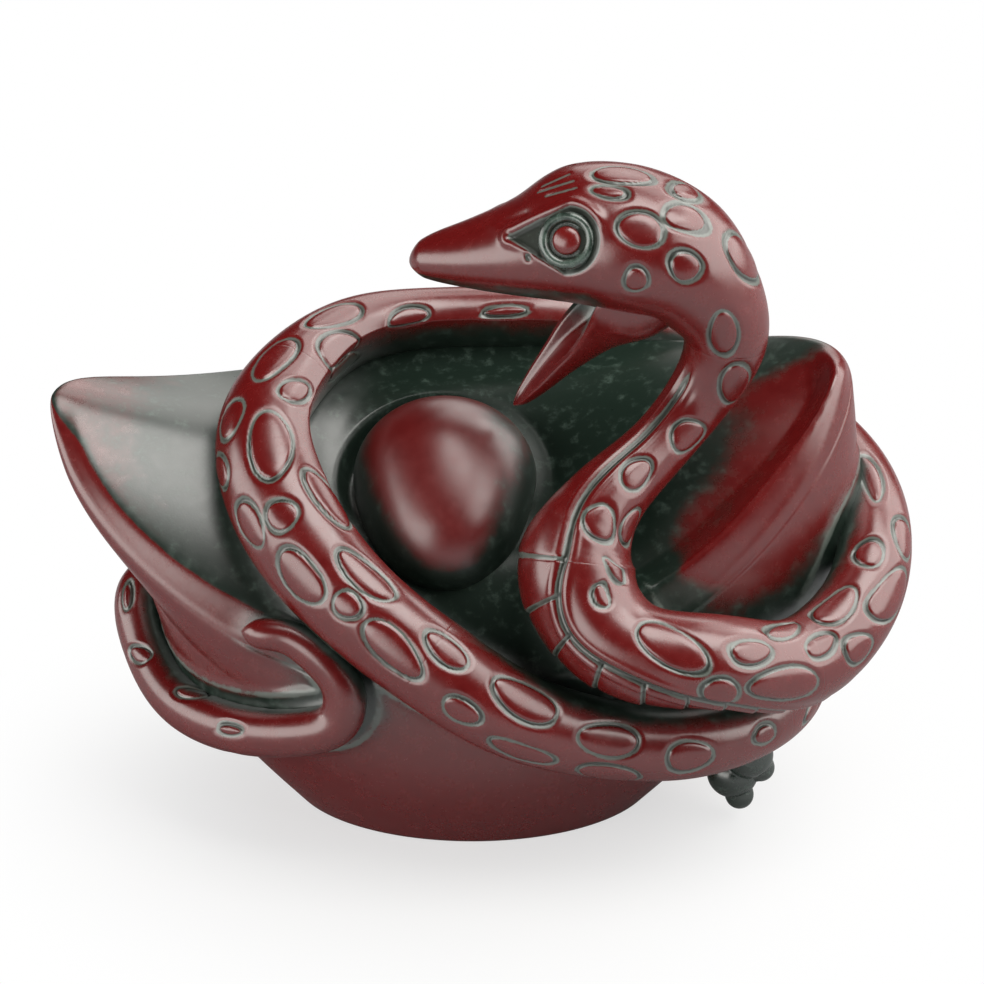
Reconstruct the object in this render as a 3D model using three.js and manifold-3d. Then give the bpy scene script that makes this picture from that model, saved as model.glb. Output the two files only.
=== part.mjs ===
// A small cast-resin ornament: a spotted snake coiled over a boat-shaped ingot.
// Millimetres, +Z up. The ingot's long axis is X, the viewer stands at -Y, and the
// origin is the middle of the foot's underside.
import * as THREE from "three";
import { mergeVertices } from "three/addons/utils/BufferGeometryUtils.js";
import Module from "manifold-3d";

const wasm = await Module();
wasm.setup();

// Ingot
const FOOT_LENGTH = 29.6;
const FOOT_DEPTH = 22;
const FOOT_BEVEL = 0.6;
const LEFT_REACH = 34.3; // from the foot's middle to the tip of the left horn
const RIGHT_REACH = 30.2;
const RIM_DEPTH = 27; // front to back across the rim
const RIM_FRONT_HEIGHT = 16;
const RIM_BACK_HEIGHT = 33; // the deck leans towards the viewer, so the back rim is the high one
const LEFT_HORN_RISE = 9.2; // how far a horn's tip stands above the leaning rim
const RIGHT_HORN_RISE = 12;
const HORN_SHARPNESS_FRONT = 2.3; // larger makes a horn fall away sooner from its tip
const LEFT_SHARPNESS_BACK = 4.5;
const RIGHT_SHARPNESS_BACK = 2.4;
const WALL_SWELL = 1.6; // outward bow of the front and back walls
const RIGHT_SWELL = 6.4; // filled-out wall under the right horn, where the side loop leans
const LEFT_SWELL = 2.2; // ledge low on the left, where the tail lies
const LEFT_SWELL_TOP = 0.62; // share of the wall's height where that ledge ends
const RIM_ROUND = 0.9;

// Dome and the groove round it
const DOME_X = -2.2;
const DOME_Y = -0.5;
const DOME_Z = 27.5;
const DOME_RADIUS = 6.7;
const DOME_TILT = 30; // degrees that the deck and the dome lean towards the viewer
const DOME_PLUG = 4; // how far the dome's plug goes below the deck
const GROOVE_WIDTH = 2.1;
const GROOVE_DEPTH = 2.2;

// Head, placed from the dome: the hinge of the jaws is its origin
const HINGE_BESIDE_DOME = 12.3;
const HINGE_BEFORE_DOME = 2.5;
const HINGE_ABOVE_DOME = 17.4;
const HEAD_YAW = 170; // degrees; the snout points to the left and a little to the back
const JAW_GAPE = 56; // degrees that the lower jaw hangs below the upper one
const EYE_AHEAD = 1.9;
const EYE_HEIGHT = 6.1;
const EYE_BESIDE = 5.4; // from the head's middle to each eye
const EYE_TILT = 24; // degrees that the eye looks upwards
const EYE_RADIUS = 2.2;
const EYE_RING = 0.55; // height of the raised ring
const EYE_SEAT = 1.1; // how deep the eye sits in the head

// Lug under the low coil at the right
const LUG_X = 21.5;
const LUG_Y = -6.2;
const LUG_BALLS = [
  [0, 0, 1.75, 1.55],
  [1.5, 0.3, 3.3, 1.45],
  [0.2, -0.6, 4.6, 2.2],
  [1.2, -1.4, 6.4, 2],
];

// Fits
const CLEARANCE = 0.3; // glue gap between neighbouring castings
const SPIGOT_LENGTH = 2.4;
const SPIGOT_SHARE = 0.5; // spigot radius as a share of the body's radius
const BELLY_SHARE = 0.88; // the belly is flatter than the back

// Mesh fineness
const INGOT_SIDES = 72;
const WALL_STEPS = 7;
const DECK_STEPS = 6;
const BODY_SIDES = 16;
const HEAD_SIDES = 24;
const EYE_SIDES = 20;
const DOME_SIDES = 40;
const RING_STEP = 2.3; // distance between body rings
const EASE_STEPS = 8; // points per station on the eased path
const EASE_PASSES = 12;

const radians = THREE.MathUtils.degToRad;
const vec = (x, y, z) => new THREE.Vector3(x, y, z);

// Closed surface through a list of rings with equal counts, with a fan at each end.
function loft(rings) {
  const sides = rings[0].length;
  const middle = (ring) => ring.reduce((sum, p) => sum.add(p), vec(0, 0, 0)).divideScalar(sides);
  const points = [...rings.flat(), middle(rings[0]), middle(rings.at(-1))];
  const first = rings.length * sides;
  const faces = [];
  for (let side = 0; side < sides; side++) {
    const next = (side + 1) % sides;
    for (let ring = 0; ring + 1 < rings.length; ring++) {
      const low = ring * sides;
      const high = low + sides;
      faces.push(low + side, low + next, high + next, low + side, high + next, high + side);
    }
    const last = first - sides;
    faces.push(first, next, side, first + 1, last + side, last + next);
  }
  return new THREE.BufferGeometry().setFromPoints(points).setIndex(faces);
}

// Turned solid about +Z from a profile of [radius, height] pairs that starts and ends on the axis.
function turned(profile, sides) {
  const points = profile.map(([radius, height]) => new THREE.Vector2(radius, height));
  return new THREE.LatheGeometry(points, sides).rotateX(Math.PI / 2);
}

// Geometry to solid and back, for cuts.
function toSolid(geometry) {
  const bare = geometry.clone();
  bare.deleteAttribute("normal");
  bare.deleteAttribute("uv");
  const merged = mergeVertices(bare, 1e-4);
  const corners = merged.index.array;
  const faces = [];
  for (let i = 0; i < corners.length; i += 3) {
    const [a, b, c] = corners.slice(i, i + 3);
    if (a !== b && b !== c && c !== a) faces.push(a, b, c);
  }
  return new wasm.Manifold(
    new wasm.Mesh({
      numProp: 3,
      vertProperties: new Float32Array(merged.attributes.position.array),
      triVerts: new Uint32Array(faces),
    }),
  );
}

function toGeometry(solid) {
  const mesh = solid.getMesh();
  return new THREE.BufferGeometry()
    .setAttribute("position", new THREE.BufferAttribute(mesh.vertProperties, 3))
    .setIndex(new THREE.BufferAttribute(mesh.triVerts, 1));
}

const cut = (geometry, cutters) =>
  toGeometry(cutters.reduce((solid, cutter) => solid.subtract(toSolid(cutter)), toSolid(geometry)));

// Ingot surface. "around" is degrees about +Z from the right horn; at 90 it is the back.
function footEdge(around) {
  const a = radians(around);
  return vec((FOOT_LENGTH / 2) * Math.cos(a), (FOOT_DEPTH / 2) * Math.sin(a), 0);
}

function rimEdge(around) {
  const a = radians(around);
  const right = Math.cos(a) > 0;
  const reach = right ? RIGHT_REACH : LEFT_REACH;
  const middle = (RIM_BACK_HEIGHT + RIM_FRONT_HEIGHT) / 2;
  const lean = (RIM_BACK_HEIGHT - RIM_FRONT_HEIGHT) / 2;
  const rise = right ? RIGHT_HORN_RISE : LEFT_HORN_RISE;
  const backSharpness = right ? RIGHT_SHARPNESS_BACK : LEFT_SHARPNESS_BACK;
  const sharpness = Math.sin(a) > 0 ? backSharpness : HORN_SHARPNESS_FRONT;
  return vec(
    reach * Math.cos(a),
    (RIM_DEPTH / 2) * Math.sin(a),
    middle + lean * Math.sin(a) + rise * Math.abs(Math.cos(a)) ** sharpness,
  );
}

function grooveEdge(around) {
  const a = radians(around);
  const reach = DOME_RADIUS + GROOVE_WIDTH;
  const tilt = radians(DOME_TILT);
  return vec(
    DOME_X + reach * Math.cos(a),
    DOME_Y + reach * Math.sin(a) * Math.cos(tilt),
    DOME_Z + reach * Math.sin(a) * Math.sin(tilt),
  );
}

// "rise" is 0 at the foot's edge, 1 at the rim and 2 at the groove round the dome.
function skin(around, rise) {
  if (rise > 1) return rimEdge(around).lerp(grooveEdge(around), rise - 1);
  const a = radians(around);
  const [swell, top] = Math.cos(a) > 0 ? [RIGHT_SWELL, 1] : [LEFT_SWELL, LEFT_SWELL_TOP];
  const bow = (share) => Math.sin(Math.PI * THREE.MathUtils.clamp(share, 0, 1));
  const outward = vec(
    swell * Math.cos(a) * Math.abs(Math.cos(a)) * bow(rise / top),
    WALL_SWELL * Math.sin(a) * Math.abs(Math.sin(a)) * bow(rise),
    0,
  );
  return footEdge(around).lerp(rimEdge(around), rise).add(outward);
}

function skinNormal(around, rise) {
  const along = skin(around + 5, rise).sub(skin(around - 5, rise));
  const upward = skin(around, rise + 0.15).sub(skin(around, rise - 0.15));
  return along.cross(upward).normalize();
}

function ingotRings() {
  const ring = (place) =>
    Array.from({ length: INGOT_SIDES }, (_, side) => place((side * 360) / INGOT_SIDES));
  const rings = [ring((around) => footEdge(around).multiplyScalar(1 - (2 * FOOT_BEVEL) / FOOT_DEPTH))];
  const wallStart = FOOT_BEVEL / RIM_FRONT_HEIGHT;
  const rimShare = RIM_ROUND / RIM_BACK_HEIGHT;
  for (let step = 0; step <= WALL_STEPS; step++) {
    const rise = THREE.MathUtils.lerp(wallStart, 1 - rimShare, step / WALL_STEPS);
    rings.push(ring((around) => skin(around, rise)));
  }
  for (let step = 0; step <= DECK_STEPS; step++) {
    const rise = THREE.MathUtils.lerp(1 + 2 * rimShare, 2, step / DECK_STEPS);
    rings.push(ring((around) => skin(around, rise)));
  }
  return rings;
}

// Points along a path, each drawn towards its neighbours several times so that the bends stay round.
function eased(points) {
  let current = points;
  for (let pass = 0; pass < EASE_PASSES; pass++) {
    const before = current;
    current = before.map((point, i) => {
      if (i === 0 || i === before.length - 1) return point;
      return before[i - 1].clone().add(before[i + 1]).addScaledVector(point, 2).divideScalar(4);
    });
  }
  return current;
}

// A spine carries, at each station, a place, the direction of the back, and three sizes:
// height of the back above it, depth of the belly below it and half width.
function makeSpine(stations) {
  const spline = (points, kind) => new THREE.CatmullRomCurve3(points, false, kind, 0.5);
  const rough = spline(stations.map((s) => s.at), "centripetal");
  const path = spline(eased(rough.getPoints(EASE_STEPS * (stations.length - 1))), "centripetal");
  const backs = spline(stations.map((s) => s.back), "catmullrom");
  const sizes = spline(stations.map((s) => s.size), "catmullrom");
  const last = stations.length - 1;
  return (t) => {
    const tangent = path.getTangent(t / last);
    const side = tangent.clone().cross(backs.getPoint(t / last)).normalize();
    const back = side.clone().cross(tangent).normalize();
    const size = sizes.getPoint(t / last);
    return { at: path.getPoint(t / last), tangent, side, back, size };
  };
}

function sectionRing(frame, sides, share = 1, grow = 0) {
  return Array.from({ length: sides }, (_, i) => {
    const a = (i * 2 * Math.PI) / sides;
    const tall = (Math.cos(a) > 0 ? frame.size.x : frame.size.y) * share + grow;
    const wide = frame.size.z * share + grow;
    return frame.at
      .clone()
      .addScaledVector(frame.back, tall * Math.cos(a))
      .addScaledVector(frame.side, wide * Math.sin(a));
  });
}

// Frames from one station to another at about equal steps.
function framesBetween(spine, start, end, step) {
  const fine = Array.from({ length: 41 }, (_, i) => spine(THREE.MathUtils.lerp(start, end, i / 40)));
  const lengths = [0];
  for (let i = 1; i < fine.length; i++) {
    lengths.push(lengths[i - 1] + fine[i].at.distanceTo(fine[i - 1].at));
  }
  const count = Math.ceil(lengths.at(-1) / step);
  return Array.from({ length: count + 1 }, (_, i) => {
    const want = (lengths.at(-1) * i) / count;
    const next = Math.max(lengths.findIndex((length) => length > want - 1e-6), 1);
    const share = (want - lengths[next - 1]) / (lengths[next] - lengths[next - 1]);
    return spine(THREE.MathUtils.lerp(start, end, (next - 1 + share) / 40));
  });
}

const shifted = (frame, distance) => ({
  ...frame,
  at: frame.at.clone().addScaledVector(frame.tangent, distance),
});

// Rings of a socket that opens at a frame, and of a spigot that stands on one.
function socketRings(frame, sides) {
  const depth = SPIGOT_LENGTH + CLEARANCE;
  return [
    sectionRing(shifted(frame, depth), sides, SPIGOT_SHARE, CLEARANCE),
    sectionRing(frame, sides, SPIGOT_SHARE, CLEARANCE),
  ];
}

function spigotRings(frame, sides) {
  return [
    sectionRing(frame, sides, SPIGOT_SHARE),
    sectionRing(shifted(frame, SPIGOT_LENGTH), sides, SPIGOT_SHARE),
  ];
}

// Head frame: +X to the snout, +Y to the snake's left, +Z up, origin at the hinge of the jaws.
const head = new THREE.Group();
head.name = "head_group";
head.position.set(DOME_X + HINGE_BESIDE_DOME, DOME_Y - HINGE_BEFORE_DOME, DOME_Z + HINGE_ABOVE_DOME);
head.rotation.z = radians(HEAD_YAW);
head.updateMatrixWorld(true);

// A head station is [ahead, height, back, up, down, half width]; "back" is the direction of the
// back in degrees from straight up, as the spine turns down into the neck.
const headStation = (ahead, height, back, up, down, wide) => ({
  at: head.localToWorld(vec(ahead, 0, height)),
  back: vec(-Math.sin(radians(back)), 0, Math.cos(radians(back))).transformDirection(head.matrixWorld),
  size: vec(up, down, wide),
});

// Eye: a disc with a raised ring and a bead in the middle, looking along +Z.
function eyeGeometry() {
  const ring = EYE_RADIUS * 0.8;
  const bead = EYE_RADIUS * 0.45;
  return turned(
    [
      [0, -EYE_SEAT],
      [EYE_RADIUS, -EYE_SEAT],
      [EYE_RADIUS, 0],
      [ring, EYE_RING],
      [ring - EYE_RING, 0.1],
      [bead, 0.1],
      [bead * 0.75, EYE_RING],
      [0, EYE_RING * 1.3],
    ],
    EYE_SIDES,
  );
}

// Lower jaw in the head's frame, before it swings down: a trough from the hinge to the chin.
// A station is [ahead, half width, depth, trough].
function jawGeometry() {
  const stations = [
    [-0.4, 5.2, 3.4, 0.5],
    [2.5, 4.8, 3.3, 1],
    [6, 3.6, 2.9, 0.9],
    [9.5, 2.3, 2, 0.5],
    [12, 0.9, 0.9, 0.1],
  ];
  const ring = ([ahead, wide, depth, trough]) =>
    Array.from({ length: 16 }, (_, i) => {
      const a = (i * Math.PI) / 8;
      const drop = i < 8 ? trough : depth;
      return vec(ahead, wide * Math.cos(a), -drop * Math.abs(Math.sin(a)) ** 0.6);
    });
  return loft(stations.map(ring));
}

// Body route. A laid station is [around, rise, lift, radius]: a place on the ingot's surface, the
// distance of the body's middle from it, and the body's radius; a direction after it turns the back.
const laid = (around, rise, lift, radius, back) => ({
  at: skin(around, rise).addScaledVector(skinNormal(around, rise), lift),
  back: back ?? skinNormal(around, rise).add(vec(0, 0, 0.8)).normalize(),
  size: vec(radius, radius * BELLY_SHARE, radius),
});
const beside = (station, x, y, z, radius, back) => ({
  at: station.at.clone().add(vec(x, y, z)),
  back,
  size: vec(radius, radius * BELLY_SHARE, radius),
});
const nape = headStation(-9.9, -3.4, 75, 3.4, 3.2, 3.4);
const loopStart = laid(303, 1.61, 4.5, 4.8, vec(0.88, 0.47, 0));
const ROUTE = {
  head: [
    headStation(14.5, 1.9, 0, 0.9, 0.7, 1.0),
    headStation(13.2, 2.0, 0, 1.6, 1.4, 2.2),
    headStation(10, 2.4, -5, 2.4, 2.1, 3.6),
    headStation(6.4, 3.0, -8, 3.7, 2.8, 4.9),
    headStation(2.4, 3.7, -6, 6.1, 3.6, 6.0),
    headStation(-1.8, 4.0, 0, 6.2, 4.6, 6.6),
    headStation(-5.8, 3.2, 25, 5.3, 5, 6.0),
    headStation(-8.8, 0.2, 55, 4.0, 4.2, 4.7),
  ],
  neck: [
    nape,
    beside(nape, -2.2, 0.3, -5, 2.8, vec(0.87, -0.1, -0.35)),
    beside(loopStart, 6.4, 5, 7.4, 2.7, vec(0.75, -0.1, -0.55)),
    beside(loopStart, 2.4, 2, 4.6, 3.4, vec(0.7, -0.1, -0.6)),
  ],
  front_loop: [
    loopStart,
    laid(293, 1.21, 3.9, 4.5, vec(0.75, 0.4, 0.5)),
    laid(295, 0.99, 4.4, 4.1, vec(0.3, 0.55, 0.78)),
    laid(306, 0.89, 5.9, 3.9, vec(0, 0.1, 1)),
  ],
  side_loop: [
    laid(320, 0.7, 5.6, 3.6, vec(0.4, -0.2, 0.9)),
    laid(335, 0.67, 4.5, 3.3),
    laid(347, 0.69, 2.7, 3.1),
    laid(5, 0.69, 1.2, 3),
    laid(23, 0.73, 1.9, 2.9),
  ],
  back_arch: [
    laid(39, 0.81, 2.7, 2.8),
    laid(51, 0.91, 2.6, 2.8),
    laid(65, 1.02, 2.6, 2.8),
    laid(75, 1.11, 2.7, 2.8),
    laid(96, 1.12, 2.7, 2.8),
    laid(109, 1.2, 3, 3.1),
  ],
  left_drop: [
    laid(146, 1.71, 3, 3.8),
    laid(180, 1.74, 2.9, 4.2),
    laid(215, 1.71, 3, 4.4),
    laid(244, 1.54, 2.9, 4.1),
  ],
  front_band: [
    laid(264, 1.13, 2.9, 3.8),
    laid(277, 0.86, 2.7, 3.5),
    laid(295, 0.63, 2.5, 3.1),
    laid(308, 0.53, 3.3, 3),
  ],
  rear_bend: [laid(324, 0.45, 3, 2.9), laid(347, 0.35, 1.6, 2.8), laid(15, 0.31, 1.9, 2.8)],
  rear_sweep: [
    laid(39, 0.3, 2.5, 2.7),
    laid(65, 0.3, 2.2, 2.7),
    laid(98, 0.31, 2.1, 2.6),
    laid(124, 0.38, 2.8, 2.5),
  ],
  tail_sweep: [
    laid(147, 0.46, 3.2, 2.4),
    laid(167, 0.47, 3.1, 2.3),
    laid(180, 0.38, 2.5, 2.2),
    laid(201, 0.36, 1.9, 2.1),
  ],
  tail_hook: [
    laid(225, 0.47, 1.7, 2),
    laid(242, 0.63, 1.5, 1.9),
    laid(250, 0.75, 1.4, 1.8),
    laid(252.5, 0.93, 1.4, 1.7),
    laid(249, 1.05, 1.4, 1.6),
    laid(243.5, 1.1, 1.4, 1.4),
    laid(240, 1.05, 1.3, 1.2),
    laid(238, 1.02, 1.2, 0.6),
  ],
};
const bodySpine = makeSpine(Object.values(ROUTE).flat());
const bodyEnd = Object.values(ROUTE).flat().length - 1;

function sectionSpan(name) {
  const names = Object.keys(ROUTE);
  const start = names.slice(0, names.indexOf(name)).reduce((sum, n) => sum + ROUTE[n].length, 0);
  return [start, Math.min(start + ROUTE[name].length, bodyEnd)];
}

function sectionGeometry(name, sides) {
  const [start, end] = sectionSpan(name);
  const frames = framesBetween(bodySpine, start, end, RING_STEP);
  if (start > 0) frames[0] = shifted(frames[0], CLEARANCE / 2);
  if (end < bodyEnd) frames.push(shifted(frames.pop(), -CLEARANCE / 2));
  const rings = frames.map((frame) => sectionRing(frame, sides));
  if (start > 0) rings.unshift(...socketRings(frames[0], sides));
  if (end < bodyEnd) rings.push(...spigotRings(frames.at(-1), sides));
  return loft(rings);
}

function sectionCutter(name) {
  const [start, end] = sectionSpan(name);
  const frames = framesBetween(bodySpine, start, Math.min(end + 0.1, bodyEnd), RING_STEP);
  return loft(frames.map((frame) => sectionRing(frame, BODY_SIDES, 1, CLEARANCE)));
}

const resin = (name, colour, roughness) =>
  new THREE.MeshStandardMaterial({ name, color: colour, roughness, metalness: 0 });
const redResin = resin("red_resin", 0x6e0f12, 0.35);
const snakeResin = resin("snake_resin", 0x7d1417, 0.33);
const darkResin = resin("dark_resin", 0x2a0a0a, 0.45);

const figurine = new THREE.Group();
figurine.name = "snake_figurine";
function addPiece(name, geometry, material, parent = figurine) {
  const mesh = new THREE.Mesh(geometry, material);
  mesh.name = name;
  parent.add(mesh);
  return mesh;
}

// Dome: a ball-topped plug that stands in the deck's groove
function domeProfile(grow) {
  const steps = 10;
  const arc = Array.from({ length: steps + 1 }, (_, i) => {
    const a = (i * Math.PI) / 2 / steps;
    return [(DOME_RADIUS + grow) * Math.cos(a), (DOME_RADIUS + grow) * Math.sin(a)];
  });
  arc[steps][0] = 0;
  return [[0, -DOME_PLUG - grow], [DOME_RADIUS + grow, -DOME_PLUG - grow], ...arc];
}

function onDeck(geometry) {
  return geometry.rotateX(radians(DOME_TILT)).translate(DOME_X, DOME_Y, DOME_Z);
}

const grooveCutter = onDeck(
  turned(
    [
      [0, -GROOVE_DEPTH],
      [DOME_RADIUS + GROOVE_WIDTH * 0.5, -GROOVE_DEPTH],
      [DOME_RADIUS + GROOVE_WIDTH, 0],
      [DOME_RADIUS + GROOVE_WIDTH, DOME_RADIUS],
      [0, DOME_RADIUS],
    ],
    DOME_SIDES,
  ),
);
const domeCutter = onDeck(turned(domeProfile(CLEARANCE), DOME_SIDES));
const bodyCutters = Object.keys(ROUTE).map(sectionCutter);

addPiece("ingot_hull", cut(loft(ingotRings()), [grooveCutter, domeCutter, ...bodyCutters]), redResin);
addPiece("ingot_dome", cut(onDeck(turned(domeProfile(0), DOME_SIDES)), bodyCutters), redResin);
const bodyNames = Object.keys(ROUTE);
for (const name of bodyNames.slice(1)) {
  const crossed = bodyNames.slice(0, bodyNames.indexOf(name) - 1).map(sectionCutter);
  addPiece(name, cut(sectionGeometry(name, BODY_SIDES), crossed), snakeResin);
}

figurine.add(head);
const eyeFrame = (sign) =>
  new THREE.Matrix4()
    .makeRotationX(-sign * radians(90 - EYE_TILT))
    .setPosition(EYE_AHEAD, sign * EYE_BESIDE, EYE_HEIGHT);
function eyeSocket(sign) {
  const depth = EYE_SEAT + CLEARANCE;
  const radius = EYE_RADIUS + CLEARANCE;
  const bore = turned([[0, -depth], [radius, -depth], [radius, EYE_RADIUS], [0, EYE_RADIUS]], EYE_SIDES);
  return bore.applyMatrix4(eyeFrame(sign));
}
const toHead = head.matrixWorld.clone().invert();
const skull = sectionGeometry("head", HEAD_SIDES).applyMatrix4(toHead);
addPiece("head", cut(skull, [eyeSocket(1), eyeSocket(-1)]), snakeResin, head);
for (const [name, sign] of [["left_eye", 1], ["right_eye", -1]]) {
  const eye = addPiece(name, eyeGeometry(), darkResin, head);
  eye.applyMatrix4(eyeFrame(sign));
}
const jawSwing = new THREE.Matrix4().makeRotationY(radians(JAW_GAPE));
const jaw = jawGeometry().applyMatrix4(jawSwing);
addPiece("lower_jaw", cut(jaw, [sectionCutter("head").applyMatrix4(toHead)]), snakeResin, head);

// Lug: joined balls that hang below the low coil
const lug = LUG_BALLS.map(([x, y, z, radius]) =>
  toSolid(new THREE.SphereGeometry(radius, 12, 8).translate(LUG_X + x, LUG_Y + y, z)),
).reduce((sum, ball) => sum.add(ball));
const lugCutters = ["front_band", "rear_bend"].map(sectionCutter);
addPiece("support_lug", cut(toGeometry(lug), lugCutters), darkResin);

export default figurine;
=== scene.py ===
"""A spotted snake coiled over a boat-shaped ingot: carved surfaces and finish of a small resin ornament.

Each piece is a surface of two parameters. It is worked out in millimetres, as the solids are, and
put into its mesh in metres.
"""
from collections import namedtuple
from functools import lru_cache

import bpy
import numpy as np
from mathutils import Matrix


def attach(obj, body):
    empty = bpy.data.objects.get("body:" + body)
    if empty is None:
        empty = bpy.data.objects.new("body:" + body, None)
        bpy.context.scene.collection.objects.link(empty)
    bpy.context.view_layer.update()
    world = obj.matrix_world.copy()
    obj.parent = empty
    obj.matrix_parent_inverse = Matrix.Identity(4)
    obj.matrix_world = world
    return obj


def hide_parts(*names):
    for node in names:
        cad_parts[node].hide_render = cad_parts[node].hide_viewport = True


bl_info = {
    "name": "Coiled snake on an ingot",
    "version": (1, 0, 0),
    "blender": (4, 5, 0),
    "location": "3D View > Sidebar > Ornament",
    "description": "Builds the carved surfaces, the finish and the stage of a cast-resin snake ornament",
    "category": "Add Mesh",
}

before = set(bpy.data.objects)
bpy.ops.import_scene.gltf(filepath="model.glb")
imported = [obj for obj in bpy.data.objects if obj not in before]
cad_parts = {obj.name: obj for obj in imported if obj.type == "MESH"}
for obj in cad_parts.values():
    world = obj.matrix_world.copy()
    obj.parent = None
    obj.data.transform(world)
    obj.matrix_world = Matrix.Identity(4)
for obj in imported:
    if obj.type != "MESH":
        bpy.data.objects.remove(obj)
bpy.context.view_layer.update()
MM = 0.001

# Camera of the photograph
PHOTO_SIZE = 984
CAMERA_ELEVATION = 25
CAMERA_DISTANCE = 330
CAMERA_TARGET = np.array([1.58, 0, 26.1])
FOCAL_PIXELS = 4092
SENSOR_WIDTH = 36
CLIP_START = 0.01

# Ingot, as in the solids
FOOT_LENGTH = 29.6
FOOT_DEPTH = 22
FOOT_BEVEL = 0.6
LEFT_REACH = 34.3
RIGHT_REACH = 30.2
RIM_DEPTH = 27
RIM_FRONT_HEIGHT = 16
RIM_BACK_HEIGHT = 33
LEFT_HORN_RISE = 9.2
RIGHT_HORN_RISE = 12
HORN_SHARPNESS_FRONT = 2.3
LEFT_SHARPNESS_BACK = 4.5
RIGHT_SHARPNESS_BACK = 2.4
WALL_SWELL = 1.6
RIGHT_SWELL = 6.4
LEFT_SWELL = 2.2
LEFT_SWELL_TOP = 0.62
RIM_ROUND = 0.9

# Dome and the groove round it
DOME = np.array([-2.2, -0.5, 27.5])
DOME_RADIUS = 6.7
DOME_TILT = 30
DOME_PLUG = 4
PLUG_AXIS = 0.05
DOME_FRONT = 1.55
DOME_DRAWN = (1, -5)
DOME_SIDE = 1.1
DOME_STAIN = 2.6
GROOVE_WIDTH = 2.1
GROOVE_DEPTH = 2.2
GROOVE_MIDDLE = 145
GROOVE_SPREAD = 50
GROOVE_SIDE = 0.14
BANK_HEIGHT = 1.1
BANK_SIDE = 0.4
FLOOR_SHARE = 0.985

# Flat band along the right horn's rim; its ends are cosines and sines of the angle around
RIM_BAND_WIDTH = 3
RIM_BAND_RISE = 2.4
RIM_BAND_END = 2.4
RIM_BAND_SLOPE = 1.4
RIM_BAND_ROUND = 0.3
RIM_BAND_SIDE = (0.25, 0.55)
RIM_BAND_FRONT = (0.3, -0.1)
RIM_BAND_WIDENS = (0, -0.55)

# Steep band below the left horn's rim
LEFT_BAND_WIDTH = 2.6
LEFT_BAND_DROP = 1.4
LEFT_BAND_INSET = 0.4
LEFT_BAND_FALL = 13
LEFT_BAND_ROUND = 0.2
LEFT_BAND_HOLLOW = 1.4
LEFT_BAND_SIDE = (-0.1, -0.45)
LEFT_BAND_FRONT = (0.12, -0.2)
LEFT_SOFTNESS = 2

# Head: the hinge of the jaws is its origin, +X runs to the snout and +Y to the snake's left
HINGE = DOME + np.array([12.3, -2.5, 17.4])
HEAD_YAW = 170
JAW_GAPE = 56
EYE = np.array([1.9, 5.4, 6.1])
EYE_TILT = 24
EYE_RADIUS = 2.2
EYE_SEAT = 1.1
EYE_BEAD = 1.1
BEAD_BASE = 0.1
BEAD_RISE = 0.52
EYE_RING = 1.82
EYE_RING_HALF = 0.42
EYE_RING_RISE = 0.46
EYE_RING_DUST = 0.35
EYE_FLOOR = 0.02
EYE_LAP = 0.05
BEAD_EDGE = (0.08, 0.05)
AXIS_RADIUS = 0.02

# Lug under the low coil: x, y, z and radius of its lobes
LUG = np.array([21.5, -6.2, 0])
LUG_LOBES = [(-0.3, 0, 3.8, 2.1), (0.3, -0.3, 1.85, 1.15), (1.95, -0.3, 4.4, 1.15), (0.9, -0.9, 6, 2)]
LUG_SHARPNESS = 12
LUG_STEEPEST = 89

# Body: share of the radius below the spine, lift of the back's direction, and easing of the route
BELLY_SHARE = 0.88
BACK_LIFT = 0.8
EASE_STEPS = 8
EASE_PASSES = 12

# Mesh fineness
RING_STEP = 0.135
BODY_SIDES = 160
HEAD_SIDES = 288
SURVEY_STEP = 0.7
SURVEY_SIDES = 40
INGOT_SIDES = 440
INGOT_FINENESS = 5
SURVEY_FINENESS = 2
DOME_SIDES = 240
DOME_RINGS = 130
EYE_SIDES = 72
EYE_RINGS = 46
LUG_SIDES = 120
LUG_RINGS = 90


def smooth(low, high, value):
    """0 below low, 1 above high, and an S-shaped rise between them."""
    share = np.clip((value - low) / (high - low), 0, 1)
    return share * share * (3 - 2 * share)


def bell(value, width):
    """1 where value is 0, falling off on both sides within the width."""
    return np.exp(-((value / width) ** 2))


def lesser(first, second, round_off):
    """The lesser of two values, rounded off where they cross, and never below 0."""
    return np.maximum((first + second - np.sqrt((first - second) ** 2 + round_off**2)) / 2, 0)


def unit(vectors):
    """Vectors divided by their lengths."""
    return vectors / np.linalg.norm(vectors, axis=-1, keepdims=True)


def wrapped(angle):
    """An angle in radians, brought between minus and plus half a turn."""
    return (angle + np.pi) % (2 * np.pi) - np.pi


def photo_axes():
    """The camera's place, its forward direction and its up direction, in millimetres."""
    e = np.radians(CAMERA_ELEVATION)
    forward = np.array([0, np.cos(e), -np.sin(e)])
    return CAMERA_TARGET - forward * CAMERA_DISTANCE, forward, np.array([0, np.sin(e), np.cos(e)])


def photo_pixels(points):
    """Column, row and depth in the photograph: offset from its axis over depth, times focal length."""
    eye, forward, up = photo_axes()
    ray = points - eye
    depth = ray @ forward
    middle = PHOTO_SIZE / 2
    column = middle + FOCAL_PIXELS * ray[..., 0] / depth
    row = middle - FOCAL_PIXELS * (ray @ up) / depth
    return np.stack([column, row, depth], -1)


# Ingot surface. "around" is degrees about +Z from the right horn; at 90 it is the back.
def foot_edge(around):
    """Ellipse on the ground."""
    a = np.radians(around)
    return np.stack([FOOT_LENGTH / 2 * np.cos(a), FOOT_DEPTH / 2 * np.sin(a), 0 * a], -1)


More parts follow.
